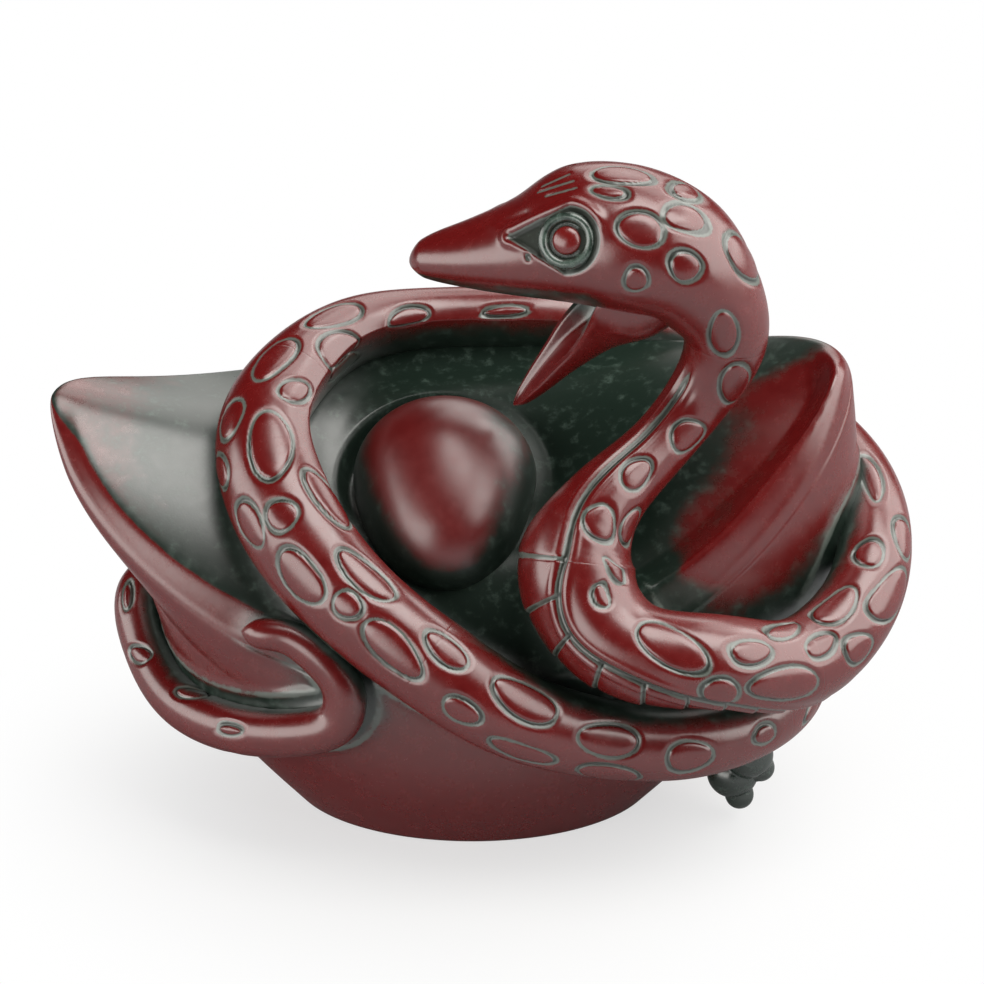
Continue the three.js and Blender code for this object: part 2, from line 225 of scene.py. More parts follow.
def rim_edge(around):
    """Ellipse that leans towards the viewer, with a power of the cosine lifting each horn."""
    a = np.radians(around)
    right = np.cos(a) > 0
    reach = np.where(right, RIGHT_REACH, LEFT_REACH)
    rise = np.where(right, RIGHT_HORN_RISE, LEFT_HORN_RISE)
    back = np.where(right, RIGHT_SHARPNESS_BACK, LEFT_SHARPNESS_BACK)
    sharpness = np.where(np.sin(a) > 0, back, HORN_SHARPNESS_FRONT)
    middle = (RIM_BACK_HEIGHT + RIM_FRONT_HEIGHT) / 2
    lean = (RIM_BACK_HEIGHT - RIM_FRONT_HEIGHT) / 2
    height = middle + lean * np.sin(a) + rise * np.abs(np.cos(a)) ** sharpness
    return np.stack([reach * np.cos(a), RIM_DEPTH / 2 * np.sin(a), height], -1)


def deck_circle(around, radius, height=0):
    """Circle about the dome's axis, at a height above the leaning deck."""
    a = np.radians(around)
    tilt = np.radians(DOME_TILT)
    x, y = radius * np.cos(a), radius * np.sin(a)
    ahead, up = np.array([0, np.cos(tilt), np.sin(tilt)]), np.array([0, -np.sin(tilt), np.cos(tilt)])
    height = height + 0 * x
    return DOME + x[..., None] * np.array([1, 0, 0]) + y[..., None] * ahead + height[..., None] * up


def skin(around, rise):
    """Wall from foot (0) to rim (1) with a sine-shaped outward swell, then deck to the groove (2)."""
    a, rise = np.broadcast_arrays(np.radians(np.asarray(around, float)), np.asarray(rise, float))
    around = np.degrees(a)
    right = np.cos(a) > 0
    swell = np.where(right, RIGHT_SWELL, LEFT_SWELL)
    top = np.where(right, 1, LEFT_SWELL_TOP)
    low = np.clip(rise, 0, 1)
    bow = np.stack(
        [
            swell * np.cos(a) * np.abs(np.cos(a)) * np.sin(np.pi * np.clip(rise / top, 0, 1)),
            WALL_SWELL * np.sin(a) * np.abs(np.sin(a)) * np.sin(np.pi * low),
            0 * a,
        ],
        -1,
    )
    wall = foot_edge(around) * (1 - low)[..., None] + rim_edge(around) * low[..., None] + bow
    inward = np.clip(rise - 1, 0, None)[..., None]
    deck = rim_edge(around) * (1 - inward) + deck_circle(around, DOME_RADIUS + GROOVE_WIDTH) * inward
    return np.where((rise > 1)[..., None], deck, wall)


def skin_normal(around, rise):
    """Cross product of the surface's two directions."""
    turn, climb = 5, 0.15
    along = skin(around + turn, rise) - skin(around - turn, rise)
    upward = skin(around, rise + climb) - skin(around, rise - climb)
    return unit(np.cross(along, upward))


# Snake's route: a station is a place, the direction of the back, and up, down and half-width sizes.
Station = namedtuple("Station", "at back size")


def head_turn():
    """Turn about +Z that points the head's +X where the snout looks."""
    yaw = np.radians(HEAD_YAW)
    return np.array([[np.cos(yaw), -np.sin(yaw), 0], [np.sin(yaw), np.cos(yaw), 0], [0, 0, 1]])


def head_to_world(points):
    """From the head's frame to the ornament's: the turn, then the hinge's place."""
    return HINGE + points @ head_turn().T


def world_to_head(points):
    """From the ornament's frame to the head's."""
    return (points - HINGE) @ head_turn()


def head_station(ahead, height, back, up, down, wide):
    """A station on the head's middle plane, its back leaning from the snout by an angle in degrees."""
    b = np.radians(back)
    lean = head_turn() @ np.array([-np.sin(b), 0, np.cos(b)])
    return Station(head_to_world(np.array([ahead, 0, height])), lean, (up, down, wide))


def laid(around, rise, lift, radius, back=None):
    """A place on the ingot, the distance of the body's middle from it, and the body's radius."""
    normal = skin_normal(around, rise)
    lean = unit(normal + np.array([0, 0, BACK_LIFT])) if back is None else np.array(back)
    return Station(skin(around, rise) + normal * lift, lean, (radius, radius * BELLY_SHARE, radius))


def beside(station, x, y, z, radius, back):
    """A station at an offset from another one."""
    at = station.at + np.array([x, y, z])
    return Station(at, np.array(back), (radius, radius * BELLY_SHARE, radius))


NAPE = head_station(-9.9, -3.4, 75, 3.4, 3.2, 3.4)
LOOP_START = laid(303, 1.61, 4.5, 4.8, (0.88, 0.47, 0))
ROUTE = {
    "head": [
        head_station(15.2, 1.3, 0, 1, 0.8, 1.3),
        head_station(13.4, 1.75, 0, 1.85, 1.75, 2.4),
        head_station(10, 2.4, -5, 2.7, 2.7, 3.7),
        head_station(6.4, 3.0, -8, 4, 3.5, 4.9),
        head_station(2.4, 3.7, -6, 6.1, 4.3, 6.0),
        head_station(-1.8, 4.0, 0, 6.2, 5.0, 6.6),
        head_station(-5.8, 3.2, 25, 5.3, 5, 6.0),
        head_station(-8.8, 0.2, 55, 4.0, 4.2, 4.7),
    ],
    "neck": [
        NAPE,
        beside(NAPE, -2.2, 0.3, -5, 2.8, (0.87, -0.1, -0.35)),
        beside(LOOP_START, 6.4, 5, 7.4, 2.7, (0.75, -0.1, -0.55)),
        beside(LOOP_START, 2.4, 2, 4.6, 3.4, (0.7, -0.1, -0.6)),
    ],
    "front_loop": [
        LOOP_START,
        laid(293, 1.21, 3.9, 4.5, (0.75, 0.4, 0.5)),
        laid(295, 0.99, 4.4, 4.1, (0.3, 0.55, 0.78)),
        laid(306, 0.89, 5.9, 3.9, (0, 0.1, 1)),
    ],
    "side_loop": [
        laid(320, 0.7, 5.6, 3.6, (0.4, -0.2, 0.9)),
        laid(335, 0.67, 4.5, 3.3),
        laid(347, 0.69, 2.7, 3.1),
        laid(5, 0.69, 1.2, 3),
        laid(23, 0.73, 1.9, 2.9),
    ],
    "back_arch": [
        laid(39, 0.81, 2.7, 2.8),
        laid(51, 0.91, 2.6, 2.8),
        laid(65, 1.02, 2.6, 2.8),
        laid(75, 1.11, 2.7, 2.8),
        laid(96, 1.12, 2.7, 2.8),
        laid(109, 1.2, 3, 3.1),
    ],
    "left_drop": [
        laid(146, 1.71, 3, 3.8),
        laid(180, 1.74, 2.9, 4.2),
        laid(215, 1.71, 3, 4.4),
        laid(244, 1.54, 2.9, 4.1),
    ],
    "front_band": [
        laid(264, 1.13, 2.9, 3.8),
        laid(277, 0.86, 2.7, 3.5),
        laid(295, 0.63, 2.5, 3.1),
        laid(308, 0.53, 3.3, 3),
    ],
    "rear_bend": [laid(324, 0.45, 3, 2.9), laid(347, 0.35, 1.6, 2.8), laid(15, 0.31, 1.9, 2.8)],
    "rear_sweep": [
        laid(39, 0.3, 2.5, 2.7),
        laid(65, 0.3, 2.2, 2.7),
        laid(98, 0.31, 2.1, 2.6),
        laid(124, 0.38, 2.8, 2.5),
    ],
    "tail_sweep": [
        laid(147, 0.46, 3.2, 2.4),
        laid(167, 0.47, 3.1, 2.3),
        laid(180, 0.38, 2.5, 2.2),
        laid(201, 0.36, 1.9, 2.1),
    ],
    "tail_hook": [
        laid(225, 0.47, 1.7, 2),
        laid(242, 0.63, 1.5, 1.9),
        laid(250, 0.75, 1.4, 1.8),
        laid(252.5, 0.93, 1.4, 1.7),
        laid(249, 1.05, 1.4, 1.6),
        laid(243.5, 1.1, 1.4, 1.4),
        laid(240, 1.05, 1.3, 1.2),
        laid(238, 1.02, 1.2, 0.6),
    ],
}


def curve(points, t, centripetal=False):
    """Cubic through the points, with a slope at each from its neighbours, and straight past the ends.

    Steps count alike, or by the root of their length where centripetal is set.
    """
    last = len(points) - 1
    i = np.clip(np.floor(t).astype(int), 0, last - 1)
    w = (t - i)[:, None]
    ahead = np.concatenate([2 * points[:1] - points[1:2], points, 2 * points[-1:] - points[-2:-1]])
    p0, p1, p2, p3 = (ahead[i + k] for k in range(4))
    if centripetal:
        squares = (np.sum((b - a) ** 2, 1)[:, None] for a, b in ((p0, p1), (p1, p2), (p2, p3)))
        step0, step1, step2 = (np.maximum(square, 1e-8) ** 0.25 for square in squares)
        t1 = ((p1 - p0) / step0 - (p2 - p0) / (step0 + step1) + (p2 - p1) / step1) * step1
        t2 = ((p2 - p1) / step1 - (p3 - p1) / (step1 + step2) + (p3 - p2) / step2) * step1
    else:
        t1, t2 = (p2 - p0) / 2, (p3 - p1) / 2
    return p1 + t1 * w + (3 * (p2 - p1) - 2 * t1 - t2) * w**2 + (2 * (p1 - p2) + t1 + t2) * w**3


def eased(points):
    """The points drawn towards their neighbours several times, so that the bends stay round."""
    for _ in range(EASE_PASSES):
        inner = (points[:-2] + 2 * points[1:-1] + points[2:]) / 4
        points = np.concatenate([points[:1], inner, points[-1:]])
    return points


Frames = namedtuple("Frames", "at tangent side back size")


class Spine:
    """The line from the snout to the tip of the tail, measured by length in millimetres."""

    SNOUT_ROUND = 1.3
    TAIL_ROUND = 1.1
    TIP_LEAST = 0.01
    TABLE_STEPS = 60

    def __init__(self, stations):
        places = np.array([s.at for s in stations])
        self.backs = np.array([s.back for s in stations])
        self.sizes = np.array([s.size for s in stations])
        self.last = len(stations) - 1
        self.path = eased(curve(places, np.arange(EASE_STEPS * self.last + 1) / EASE_STEPS, True))
        self.table = np.linspace(0, self.last, self.TABLE_STEPS * self.last + 1)
        steps = np.linalg.norm(np.diff(self.place(self.table), axis=0), axis=1)
        self.lengths = np.concatenate([[0], np.cumsum(steps)])
        self.length = self.lengths[-1]

    def place(self, t):
        """Places on the eased line; t counts stations from the snout."""
        return curve(self.path, t * EASE_STEPS, True)

    def length_at(self, t):
        """Length from the snout to a station count."""
        return np.interp(t, self.table, self.lengths)

    def frames(self, length):
        """Place, directions and sizes at lengths; the sizes close in a quarter circle at each tip."""
        t = np.interp(length, self.lengths, self.table)
        h = 0.006
        ahead, behind = np.clip(t + h, 0, self.last), np.clip(t - h, 0, self.last)
        tangent = unit(self.place(ahead) - self.place(behind))
        side = unit(np.cross(tangent, curve(self.backs, t)))
        tip = np.minimum(length / self.SNOUT_ROUND, (self.length - length) / self.TAIL_ROUND)
        closing = np.sqrt(np.clip(1 - (1 - np.clip(tip, self.TIP_LEAST, 1)) ** 2, 0, 1))
        size = curve(self.sizes, t) * closing[:, None]
        return Frames(self.place(t), tangent, side, np.cross(side, tangent), size)


SPINE = Spine([station for part in ROUTE.values() for station in part])


def section_span(name):
    """Lengths at which a section of the body starts and ends."""
    names = list(ROUTE)
    start = sum(len(ROUTE[n]) for n in names[: names.index(name)])
    return SPINE.length_at(start), SPINE.length_at(min(start + len(ROUTE[name]), SPINE.last))


def body_points(frames, angles):
    """Rings: the spine's place, plus the back's direction times cosine, plus the side's times sine."""
    c, s = np.cos(angles), np.sin(angles)
    tall = np.where(c > 0, frames.size[:, :1], frames.size[:, 1:2]) * c
    wide = frames.size[:, 2:] * s
    upward = frames.back[:, None] * tall[..., None]
    sideways = frames.side[:, None] * wide[..., None]
    return frames.at[:, None] + upward + sideways


def skin_point(length, angle):
    """The one point of the body at a length and an angle."""
    return body_points(SPINE.frames(np.array([length])), np.array([angle]))[0, 0]


def half_width(length):
    """The body's half width at a length."""
    return float(SPINE.frames(np.array([length])).size[0, 2])


def grid_normals(points):
    """Outward directions of a closed-column grid: cross product of its central differences."""
    along = np.gradient(points, axis=0)
    around = np.roll(points, -1, axis=1) - np.roll(points, 1, axis=1)
    return unit(np.cross(around, along) + 1e-12)


# Spots carved into the back, measured on the photograph: column, row, long and short axis in
# pixels, and tilt in degrees, clockwise from level.
PhotoSpot = namedtuple("PhotoSpot", "column row long short tilt")
PHOTO_SPOTS = [
    PhotoSpot(*spot)
    for spot in [
        (640, 229, 50, 34, 12), (686, 217, 45, 28, 20), (622, 173, 60, 17, 6), (609, 191, 36, 12, 5),
        (686, 191, 32, 15, 25), (686, 267, 33, 30, 0), (636, 281, 25, 22, 0), (747, 257, 50, 22, 62),
        (724, 335, 44, 28, 100), (737, 387, 40, 27, 112), (689, 436, 38, 28, -35), (637, 473, 33, 30, -35),
        (600, 523, 40, 29, 70), (601, 596, 26, 15, 75), (631, 527, 36, 14, -70), (617, 570, 34, 12, 60),
        (668, 645, 84, 38, 30), (753, 652, 44, 25, -3), (721, 693, 37, 25, 5), (788, 686, 66, 36, -10),
        (821, 645, 32, 22, -25), (860, 649, 32, 26, -45), (835, 607, 54, 26, -28), (893, 597, 56, 34, -62),
        (869, 553, 30, 28, 0), (906, 537, 44, 16, 75), (872, 476, 50, 18, 68), (786, 629, 34, 14, -12),
        (334, 314, 58, 20, -12), (408, 317, 40, 20, -15), (505, 311, 45, 9, -3), (274, 356, 54, 25, -38),
        (342, 350, 55, 40, -25), (353, 373, 36, 14, -52), (296, 390, 31, 23, 0), (229, 418, 44, 18, 117),
        (219, 471, 36, 10, 80), (270, 443, 66, 46, 84), (329, 499, 70, 21, 53), (281, 515, 33, 32, 0),
        (248, 524, 52, 22, 66), (300, 578, 62, 36, 57), (366, 576, 86, 26, 42), (347, 605, 29, 28, 0),
        (392, 649, 74, 36, 45), (447, 650, 50, 26, 40), (461, 712, 40, 24, 30), (526, 701, 92, 34, 31),
        (610, 741, 58, 36, 8), (690, 758, 49, 30, -15), (766, 735, 24, 18, -30), (522, 754, 66, 16, 18),
        (609, 776, 60, 14, 5), (126, 596, 30, 9, 95), (139, 654, 22, 17, 20), (192, 692, 34, 10, 5),
        (229, 730, 24, 8, 10),
    ]
]
SPOT_LEAST = 0.45
SPOT_MOST = 2.9

# Laying a photographed spot on the skin: how far the skin has to face the camera, the miss in pixels that
# is let pass, the depth in millimetres that a further pixel counts for, and the steps that close the rest
HIT_FACING = 0.05
HIT_PIXELS = 6
MISS_DEPTH = 2
FIT_STEPS = 3
FIT_STRIDE = 0.6
FLAT_VIEW = 0.2

# Scattered spots: where they may lie, their half axes as shares of the body's radius, and their spacing
SPOT_SEED = 5
HIDDEN_SECTIONS = ("rear_bend", "rear_sweep")
TURNED_AWAY = -0.3
BACK_REACH = 115
BARE_SNOUT = 9
BARE_TAIL = 8
SCATTER_LONG = (0.3, 0.52)
SCATTER_SHORT = (0.2, 0.32)
SCATTER_TILT = 0.5
SCATTER_ROOM = 0.62
SCATTER_GAP = 0.35

# Groove round a spot: its unevenness, the lip outside it and the raised island inside it
SPOT_MARGIN = 1.5
TWO_LOBES = 0.05
THREE_LOBES = 0.04
RING_DEPTH = 0.85
RING_DEPTH_SWING = 0.25
RING_INNER_SHARE = 0.8
RING_LIP = 0.75
RING_LIP_WIDTH = 4
ISLAND_RISE = 0.05
ISLAND_EDGE = (-0.1, -0.8)

Spot = namedtuple("Spot", "length angle radius shape phases")
BodySurvey = namedtuple("BodySurvey", "length angle at facing hidden")


@lru_cache(maxsize=None)
def survey(name):
    """Coarse grid of a section: lengths, angles, points and outward directions."""
    start, end = section_span(name)
    lengths = np.linspace(start, end, int(np.ceil((end - start) / SURVEY_STEP)) + 1)
    angles = np.arange(SURVEY_SIDES) * 2 * np.pi / SURVEY_SIDES
    points = body_points(SPINE.frames(lengths), angles)
    return lengths, angles, points, grid_normals(points)


def photo_slopes(length, angle, radius):
    """Pixels that the photograph moves per millimetre along the body and per millimetre round it."""
    h = 0.05

    def pixel(along, around):
        """Column and row of the skin at an offset in millimetres."""
        return photo_pixels(skin_point(length + along, angle + around / radius))[:2]

    return np.stack([(pixel(h, 0) - pixel(-h, 0)), (pixel(0, h) - pixel(0, -h))], -1) / (2 * h)


def limited_shape(shape):
    """The matrix that makes an ellipse a unit circle, with its half axes kept between the two limits."""
    u, stretch, v = np.linalg.svd(shape)
    return u @ np.diag(np.clip(stretch, 1 / SPOT_MOST, 1 / SPOT_LEAST)) @ v


def flat_turn(tilt):
    """Turn of a plane by an angle in radians, clockwise."""
    return np.array([[np.cos(tilt), np.sin(tilt)], [-np.sin(tilt), np.cos(tilt)]])


def body_survey():
    """All the survey grids end to end, with the cosine of each outward direction to the camera's way."""
    eye = photo_axes()[0]
    parts = []
    for name in ROUTE:
        along, around, points, normals = survey(name)
        length, angle = np.repeat(along, len(around)), np.tile(around, len(along))
        facing = np.sum(normals * unit(eye - points), -1)
        hidden = np.full(len(length), name in HIDDEN_SECTIONS)
        parts.append((length, angle, points.reshape(-1, 3), facing.ravel(), hidden))
    return BodySurvey(*map(np.concatenate, zip(*parts)))


def laid_spot(spot, body, pixels, phases):
    """A photographed spot on the nearest facing skin, moved along it until it stands on its pixel."""
    miss = np.hypot(pixels[:, 0] - spot.column, pixels[:, 1] - spot.row)
    score = pixels[:, 2] + np.maximum(miss - HIT_PIXELS, 0) * MISS_DEPTH
    best = int(np.argmin(np.where(body.facing > HIT_FACING, score, np.inf)))
    length, angle = body.length[best], body.angle[best]
    radius = half_width(length)
    for _ in range(FIT_STEPS):
        slopes = photo_slopes(length, angle, radius)
        offset = np.array([spot.column, spot.row]) - photo_pixels(skin_point(length, angle))[:2]
        step = np.clip(np.linalg.pinv(slopes, rcond=FLAT_VIEW) @ offset, -FIT_STRIDE, FIT_STRIDE)
        length, angle = length + step[0], angle + step[1] / radius
    ellipse = np.diag([2 / spot.long, 2 / spot.short]) @ flat_turn(np.radians(spot.tilt))
    shape = limited_shape(ellipse @ photo_slopes(length, angle, radius))
    return Spot(length, angle, radius, shape, phases)


def scattered_spots(body, spots, draw):
    """Spots of drawn size and tilt where the camera can't look, each kept clear of the others."""
    taken = [skin_point(spot.length, spot.angle) for spot in spots]
    on_back = np.abs(wrapped(body.angle)) < np.radians(BACK_REACH)
    unseen = body.hidden | (body.facing < TURNED_AWAY)
    between = (body.length > BARE_SNOUT) & (body.length < SPINE.length - BARE_TAIL)
    made = []
    for index in draw.permutation(np.flatnonzero(on_back & unseen & between)):
        length, angle, at = body.length[index], body.angle[index], body.at[index]
        radius = half_width(length)
        long, short = draw.uniform(*SCATTER_LONG) * radius, draw.uniform(*SCATTER_SHORT) * radius
        room = long + SCATTER_ROOM * radius + SCATTER_GAP
        if np.min(np.linalg.norm(np.array(taken) - at, axis=1)) < room:
            continue
        turn = flat_turn(draw.uniform(-SCATTER_TILT, SCATTER_TILT))
        shape = limited_shape(np.diag([1 / long, 1 / short]) @ turn)
        made.append(Spot(length, angle, radius, shape, draw.uniform(0, 2 * np.pi, 3)))
        taken.append(at)
    return made


@lru_cache(maxsize=None)
def all_spots():
    """Photographed spots laid on the skin, then scattered ones where the camera can't look."""
    draw = np.random.default_rng(SPOT_SEED)
    body = body_survey()
    pixels = photo_pixels(body.at)
    spots = [laid_spot(spot, body, pixels, draw.uniform(0, 2 * np.pi, 3)) for spot in PHOTO_SPOTS]
    return spots + scattered_spots(body, spots, draw)


def spot_relief(lengths, angles, looks):
    """Height and carving of the spots: a groove along each ellipse, a lip outside, an island inside."""
    height = np.zeros((len(lengths), len(angles)))
    carve = np.zeros_like(height)
    width, deepest = looks.spot_width / MM, looks.spot_depth / MM
    for spot in all_spots():
        rows = np.abs(lengths - spot.length) < SPOT_MOST + SPOT_MARGIN
        if not rows.any():
            continue
        along = (lengths[rows] - spot.length)[:, None] + 0 * angles
        around = wrapped(angles - spot.angle) * spot.radius + 0 * along
        x, y = (row[0] * along + row[1] * around for row in spot.shape)
        bearing = np.arctan2(y, x)
        first, second, third = spot.phases
        wobble = 1 + TWO_LOBES * np.sin(2 * bearing + first) + THREE_LOBES * np.sin(3 * bearing + second)
        reach = np.maximum(np.hypot(x, y), 1e-6)
        steepest = spot.shape.T @ np.stack([x.ravel(), y.ravel()]) / reach.ravel()
        outside = (reach / wobble - 1) / np.hypot(*steepest).reshape(x.shape)
        depth = RING_DEPTH + RING_DEPTH_SWING * np.sin(bearing + third)
        lip = np.maximum(bell(outside, width), RING_LIP - outside / width / RING_LIP_WIDTH)
        cut = np.where(outside < 0, bell(outside, RING_INNER_SHARE * width), lip)
        groove = np.clip(cut, 0, 1) * depth
        height[rows] += ISLAND_RISE * smooth(*ISLAND_EDGE, outside) - deepest * groove
        carve[rows] = np.maximum(carve[rows], groove)
    return height, carve


# Belly line and plates, shown where the neck turns over into the front loop
BELLY_START = 8.3
BELLY_END = 17
PLATE_SPACING = 2.7
PLATE_START = 11.3
BELLY_EDGE = 50
BELLY_FADE_IN = 4
BELLY_FADE_OUT = 8
BELLY_LINE_DEPTH = 0.3
BELLY_LINE_WIDTH = 0.3
RIDGE_PLACE = 0.75
RIDGE_WIDTH = 0.28
RIDGE_RISE = 0.14
PLATE_SIDE = (0.2, -0.3)
PLATE_TILT = 0.16
PLATE_EDGE_DEPTH = 0.14
PLATE_EDGE_WIDTH = 0.13
PLATE_EDGE_DUST = 0.9


def belly_relief(lengths, angles, radius):
    """A groove between two ridges along each side of the belly, and plates that step down along it."""
    start, end = SPINE.length_at(BELLY_START), SPINE.length_at(BELLY_END)
    share = smooth(start, start + BELLY_FADE_IN, lengths)[:, None]
    share = share * (1 - smooth(end - BELLY_FADE_OUT, end, lengths))[:, None]
    plated = smooth(SPINE.length_at(PLATE_START), SPINE.length_at(PLATE_START + 1), lengths)[:, None]
    from_belly = np.abs(wrapped(angles - np.pi))
    beyond = (from_belly - np.radians(BELLY_EDGE)) * radius[:, None]
    line = bell(beyond, BELLY_LINE_WIDTH)
    ridges = bell(np.abs(beyond) - RIDGE_PLACE, RIDGE_WIDTH)
    phase = (lengths / PLATE_SPACING % 1)[:, None]
    inside = smooth(*PLATE_SIDE, beyond)
    edge = bell(np.minimum(phase, 1 - phase) * PLATE_SPACING, PLATE_EDGE_WIDTH) * inside * plated
    plates = plated * inside * PLATE_TILT * (phase - 0.5) - PLATE_EDGE_DEPTH * edge
    height = share * (RIDGE_RISE * ridges - BELLY_LINE_DEPTH * line + plates)
    return height, share * np.maximum(line, edge * PLATE_EDGE_DUST)


# Things that keep light out of the crevices: balls strung along the spine, the dome and the jaw. A tag
# stands in for a length where a ball isn't on the body.
Blobs = namedtuple("Blobs", "at radius area length")
DOME_TAG = -1000
JAW_TAG = -2000
BALL_STEP = 0.8
OWN_REACH = 3.1
BLOCK_POINTS = 600
FAR_OFF = 99
LEAST_SQUARE = 0.04
SURVEY_REACH = 1.2

# Balls in the jaw: ahead, height and radius
JAW_BALLS = np.array(
    [(2, -1.4, 2.4), (4.5, -1.3, 2.2), (7, -1, 1.8), (9.5, -0.8, 1.3), (11.5, -0.4, 0.7)]
)


@lru_cache(maxsize=None)
def blobs():
    """Middles, radii and outline areas of the balls; a ball's length says where on the body it sits."""
    lengths = np.arange(BALL_STEP / 2, SPINE.length, BALL_STEP)
    frames = SPINE.frames(lengths)
    radius = frames.size.mean(1)
    ahead, height, jaw_radius = JAW_BALLS.T
    jaw = jaw_to_world(np.stack([ahead, 0 * ahead, height], -1))
    return Blobs(
        np.concatenate([frames.at, DOME[None], jaw]),
        np.concatenate([radius, [DOME_RADIUS], jaw_radius]),
        np.concatenate([2 * radius * BALL_STEP, [np.pi * DOME_RADIUS**2], np.pi * jaw_radius**2]),
        np.concatenate([lengths, [DOME_TAG], np.full(len(jaw), JAW_TAG)]),
    )


def crevices(points, normals, lengths=None, skip=None, ingot=True):
    """How covered (0 to 1) points are by coils, dome, jaw and ingot, and the gap to the nearest of them.

    Cover adds up area times both slants over distance squared, a block of rows at a time.
    """
    blocks = []
    count = max(1, points.shape[0] * points.shape[1] // BLOCK_POINTS)
    for rows in np.array_split(np.arange(len(points)), count):
        own = None if lengths is None else np.repeat(lengths[rows], points.shape[1])
        flat, facing = points[rows].reshape(-1, 3), normals[rows].reshape(-1, 3)
        blocks.append(block_crevices(flat, facing, own, skip, ingot))
    cover, gap = (np.concatenate(part).reshape(points.shape[:2]) for part in zip(*blocks))
    return np.clip(cover, 0, 1), np.maximum(gap, 0)


def block_crevices(flat, facing, own, skip, ingot):
    """Cover and gap of a list of points; balls close by on the body itself or skipped don't count."""
    balls = blobs()
    distance, lean = sight(flat, facing, balls.at)
    use = np.ones_like(distance, bool)
    if own is not None:
        use = np.abs(own[:, None] - balls.length) > OWN_REACH * balls.radius
    use &= balls.length != skip
    reach = np.maximum(distance, balls.radius)
    cover = np.sum(np.where(use, balls.area * np.maximum(lean, 0) / (np.pi * reach**2), 0), 1)
    gap = np.min(np.where(use, distance - balls.radius, FAR_OFF), 1)
    if ingot:
        where, outward, area = ingot_survey()
        distance, lean = sight(flat, facing, where)
        face = (flat @ outward.T - np.sum(where * outward, 1)) / distance
        slants = np.maximum(lean, 0) * np.maximum(face, 0)
        cover += np.sum(area * slants / (np.pi * distance**2 + area), 1)
        nearest = np.argmin(distance, 1)
        plane = np.sum((flat - where[nearest]) * outward[nearest], 1)
        gap = np.minimum(gap, np.maximum(plane, distance.min(1) - SURVEY_REACH))
    return cover, gap


def sight(flat, facing, targets):
    """Distance from each point to each target, and the cosine of the way there to the outward one."""
    squares = np.sum(flat**2, 1)[:, None] + np.sum(targets**2, 1) - 2 * flat @ targets.T
    distance = np.sqrt(np.maximum(squares, LEAST_SQUARE))
    return distance, (facing @ targets.T - np.sum(facing * flat, 1)[:, None]) / distance


def spread_crevices(points, row_step, column_step, **options):
    """Crevices of a fine grid, worked out on every few rows and columns and spread over the rest."""
    picked = np.unique(np.concatenate([np.arange(0, len(points), row_step), [len(points) - 1]]))
    coarse = points[picked][:, ::column_step]
    row = np.interp(np.arange(len(points)), picked, np.arange(len(picked)))
    column = np.arange(points.shape[1]) / column_step
    return [spread(field, row, column) for field in crevices(coarse, grid_normals(coarse), **options)]


def spread(coarse, row, column):
    """Values of a coarse grid, closed round its columns, read between its points in straight lines."""
    i = np.clip(np.floor(row).astype(int), 0, len(coarse) - 2)
    j = np.floor(column).astype(int)
    u, v = np.clip(row - i, 0, 1)[:, None], (column - j)[None]
    count = coarse.shape[1]
    low, high = coarse[i], coarse[i + 1]
    left, right = j % count, (j + 1) % count
    below = low[:, left] * (1 - v) + low[:, right] * v
    above = high[:, left] * (1 - v) + high[:, right] * v
    return below * (1 - u) + above * u


# Ingot grid
@lru_cache(maxsize=None)
def ingot_rows(fineness):
    """Row positions: underside (-1 to 0), wall (0 to 1), rim, deck (to 2), groove and floor (to 3)."""
    rim = RIM_ROUND / RIM_BACK_HEIGHT
    return np.concatenate(
        [
            np.linspace(-1, -0.05, 2 + fineness),
            np.linspace(-0.03, FOOT_BEVEL / RIM_FRONT_HEIGHT, 2 + fineness),
            np.linspace(FOOT_BEVEL / RIM_FRONT_HEIGHT, 1 - rim, 17 * fineness)[1:],
            np.linspace(1 - rim, 1 + 2 * rim, 2 + 2 * fineness)[1:],
            np.linspace(1 + 2 * rim, 2, 14 * fineness)[1:],
            np.linspace(2, 3, 3 + 6 * fineness)[1:],
        ]
    )


def ingot_points(around, rows):
    """Skin with a bevelled foot, a rim turned over by a quadratic curve and a groove round the dome."""
    rim = RIM_ROUND / RIM_BACK_HEIGHT
    level = rows[:, None]
    points = skin(around[None], np.clip(level, 0, 2))
    inset = 1 - 2 * FOOT_BEVEL / FOOT_DEPTH
    under = foot_edge(around)[None] * (inset * np.clip(1 + level, 0, 1))[..., None]
    points = np.where((level < 0)[..., None], under, points)
    soft = LEFT_SOFTNESS * left_share(around)
    first, last = 1 - rim * (1 + soft), 1 + 2 * rim
    turn = np.clip((level - first) / (last - first), 0, 1)[..., None]
    low, corner, high = skin(around, first)[None], skin(around, 1.0)[None], skin(around, last)[None]
    rolled = low * (1 - turn) ** 2 + 2 * corner * turn * (1 - turn) + high * turn**2
    points = np.where(((level > first) & (level < last))[..., None], rolled, points)
    points = points + rim_band(around, level) + left_band(around, level)
    sunk = np.clip(level - 2, 0, 1)
    radius = (DOME_RADIUS + GROOVE_WIDTH) * (1 - sunk * FLOOR_SHARE)
    groove = bell(wrapped(np.radians(around - GROOVE_MIDDLE)), np.radians(GROOVE_SPREAD))
    dip = GROOVE_DEPTH * groove * smooth(0, GROOVE_SIDE, sunk)
    bank = BANK_HEIGHT * (1 - groove) * smooth(0, BANK_SIDE, sunk)
    floor = deck_circle(around + 0 * radius, radius, bank - dip)
    return np.where((level > 2)[..., None], floor, points)


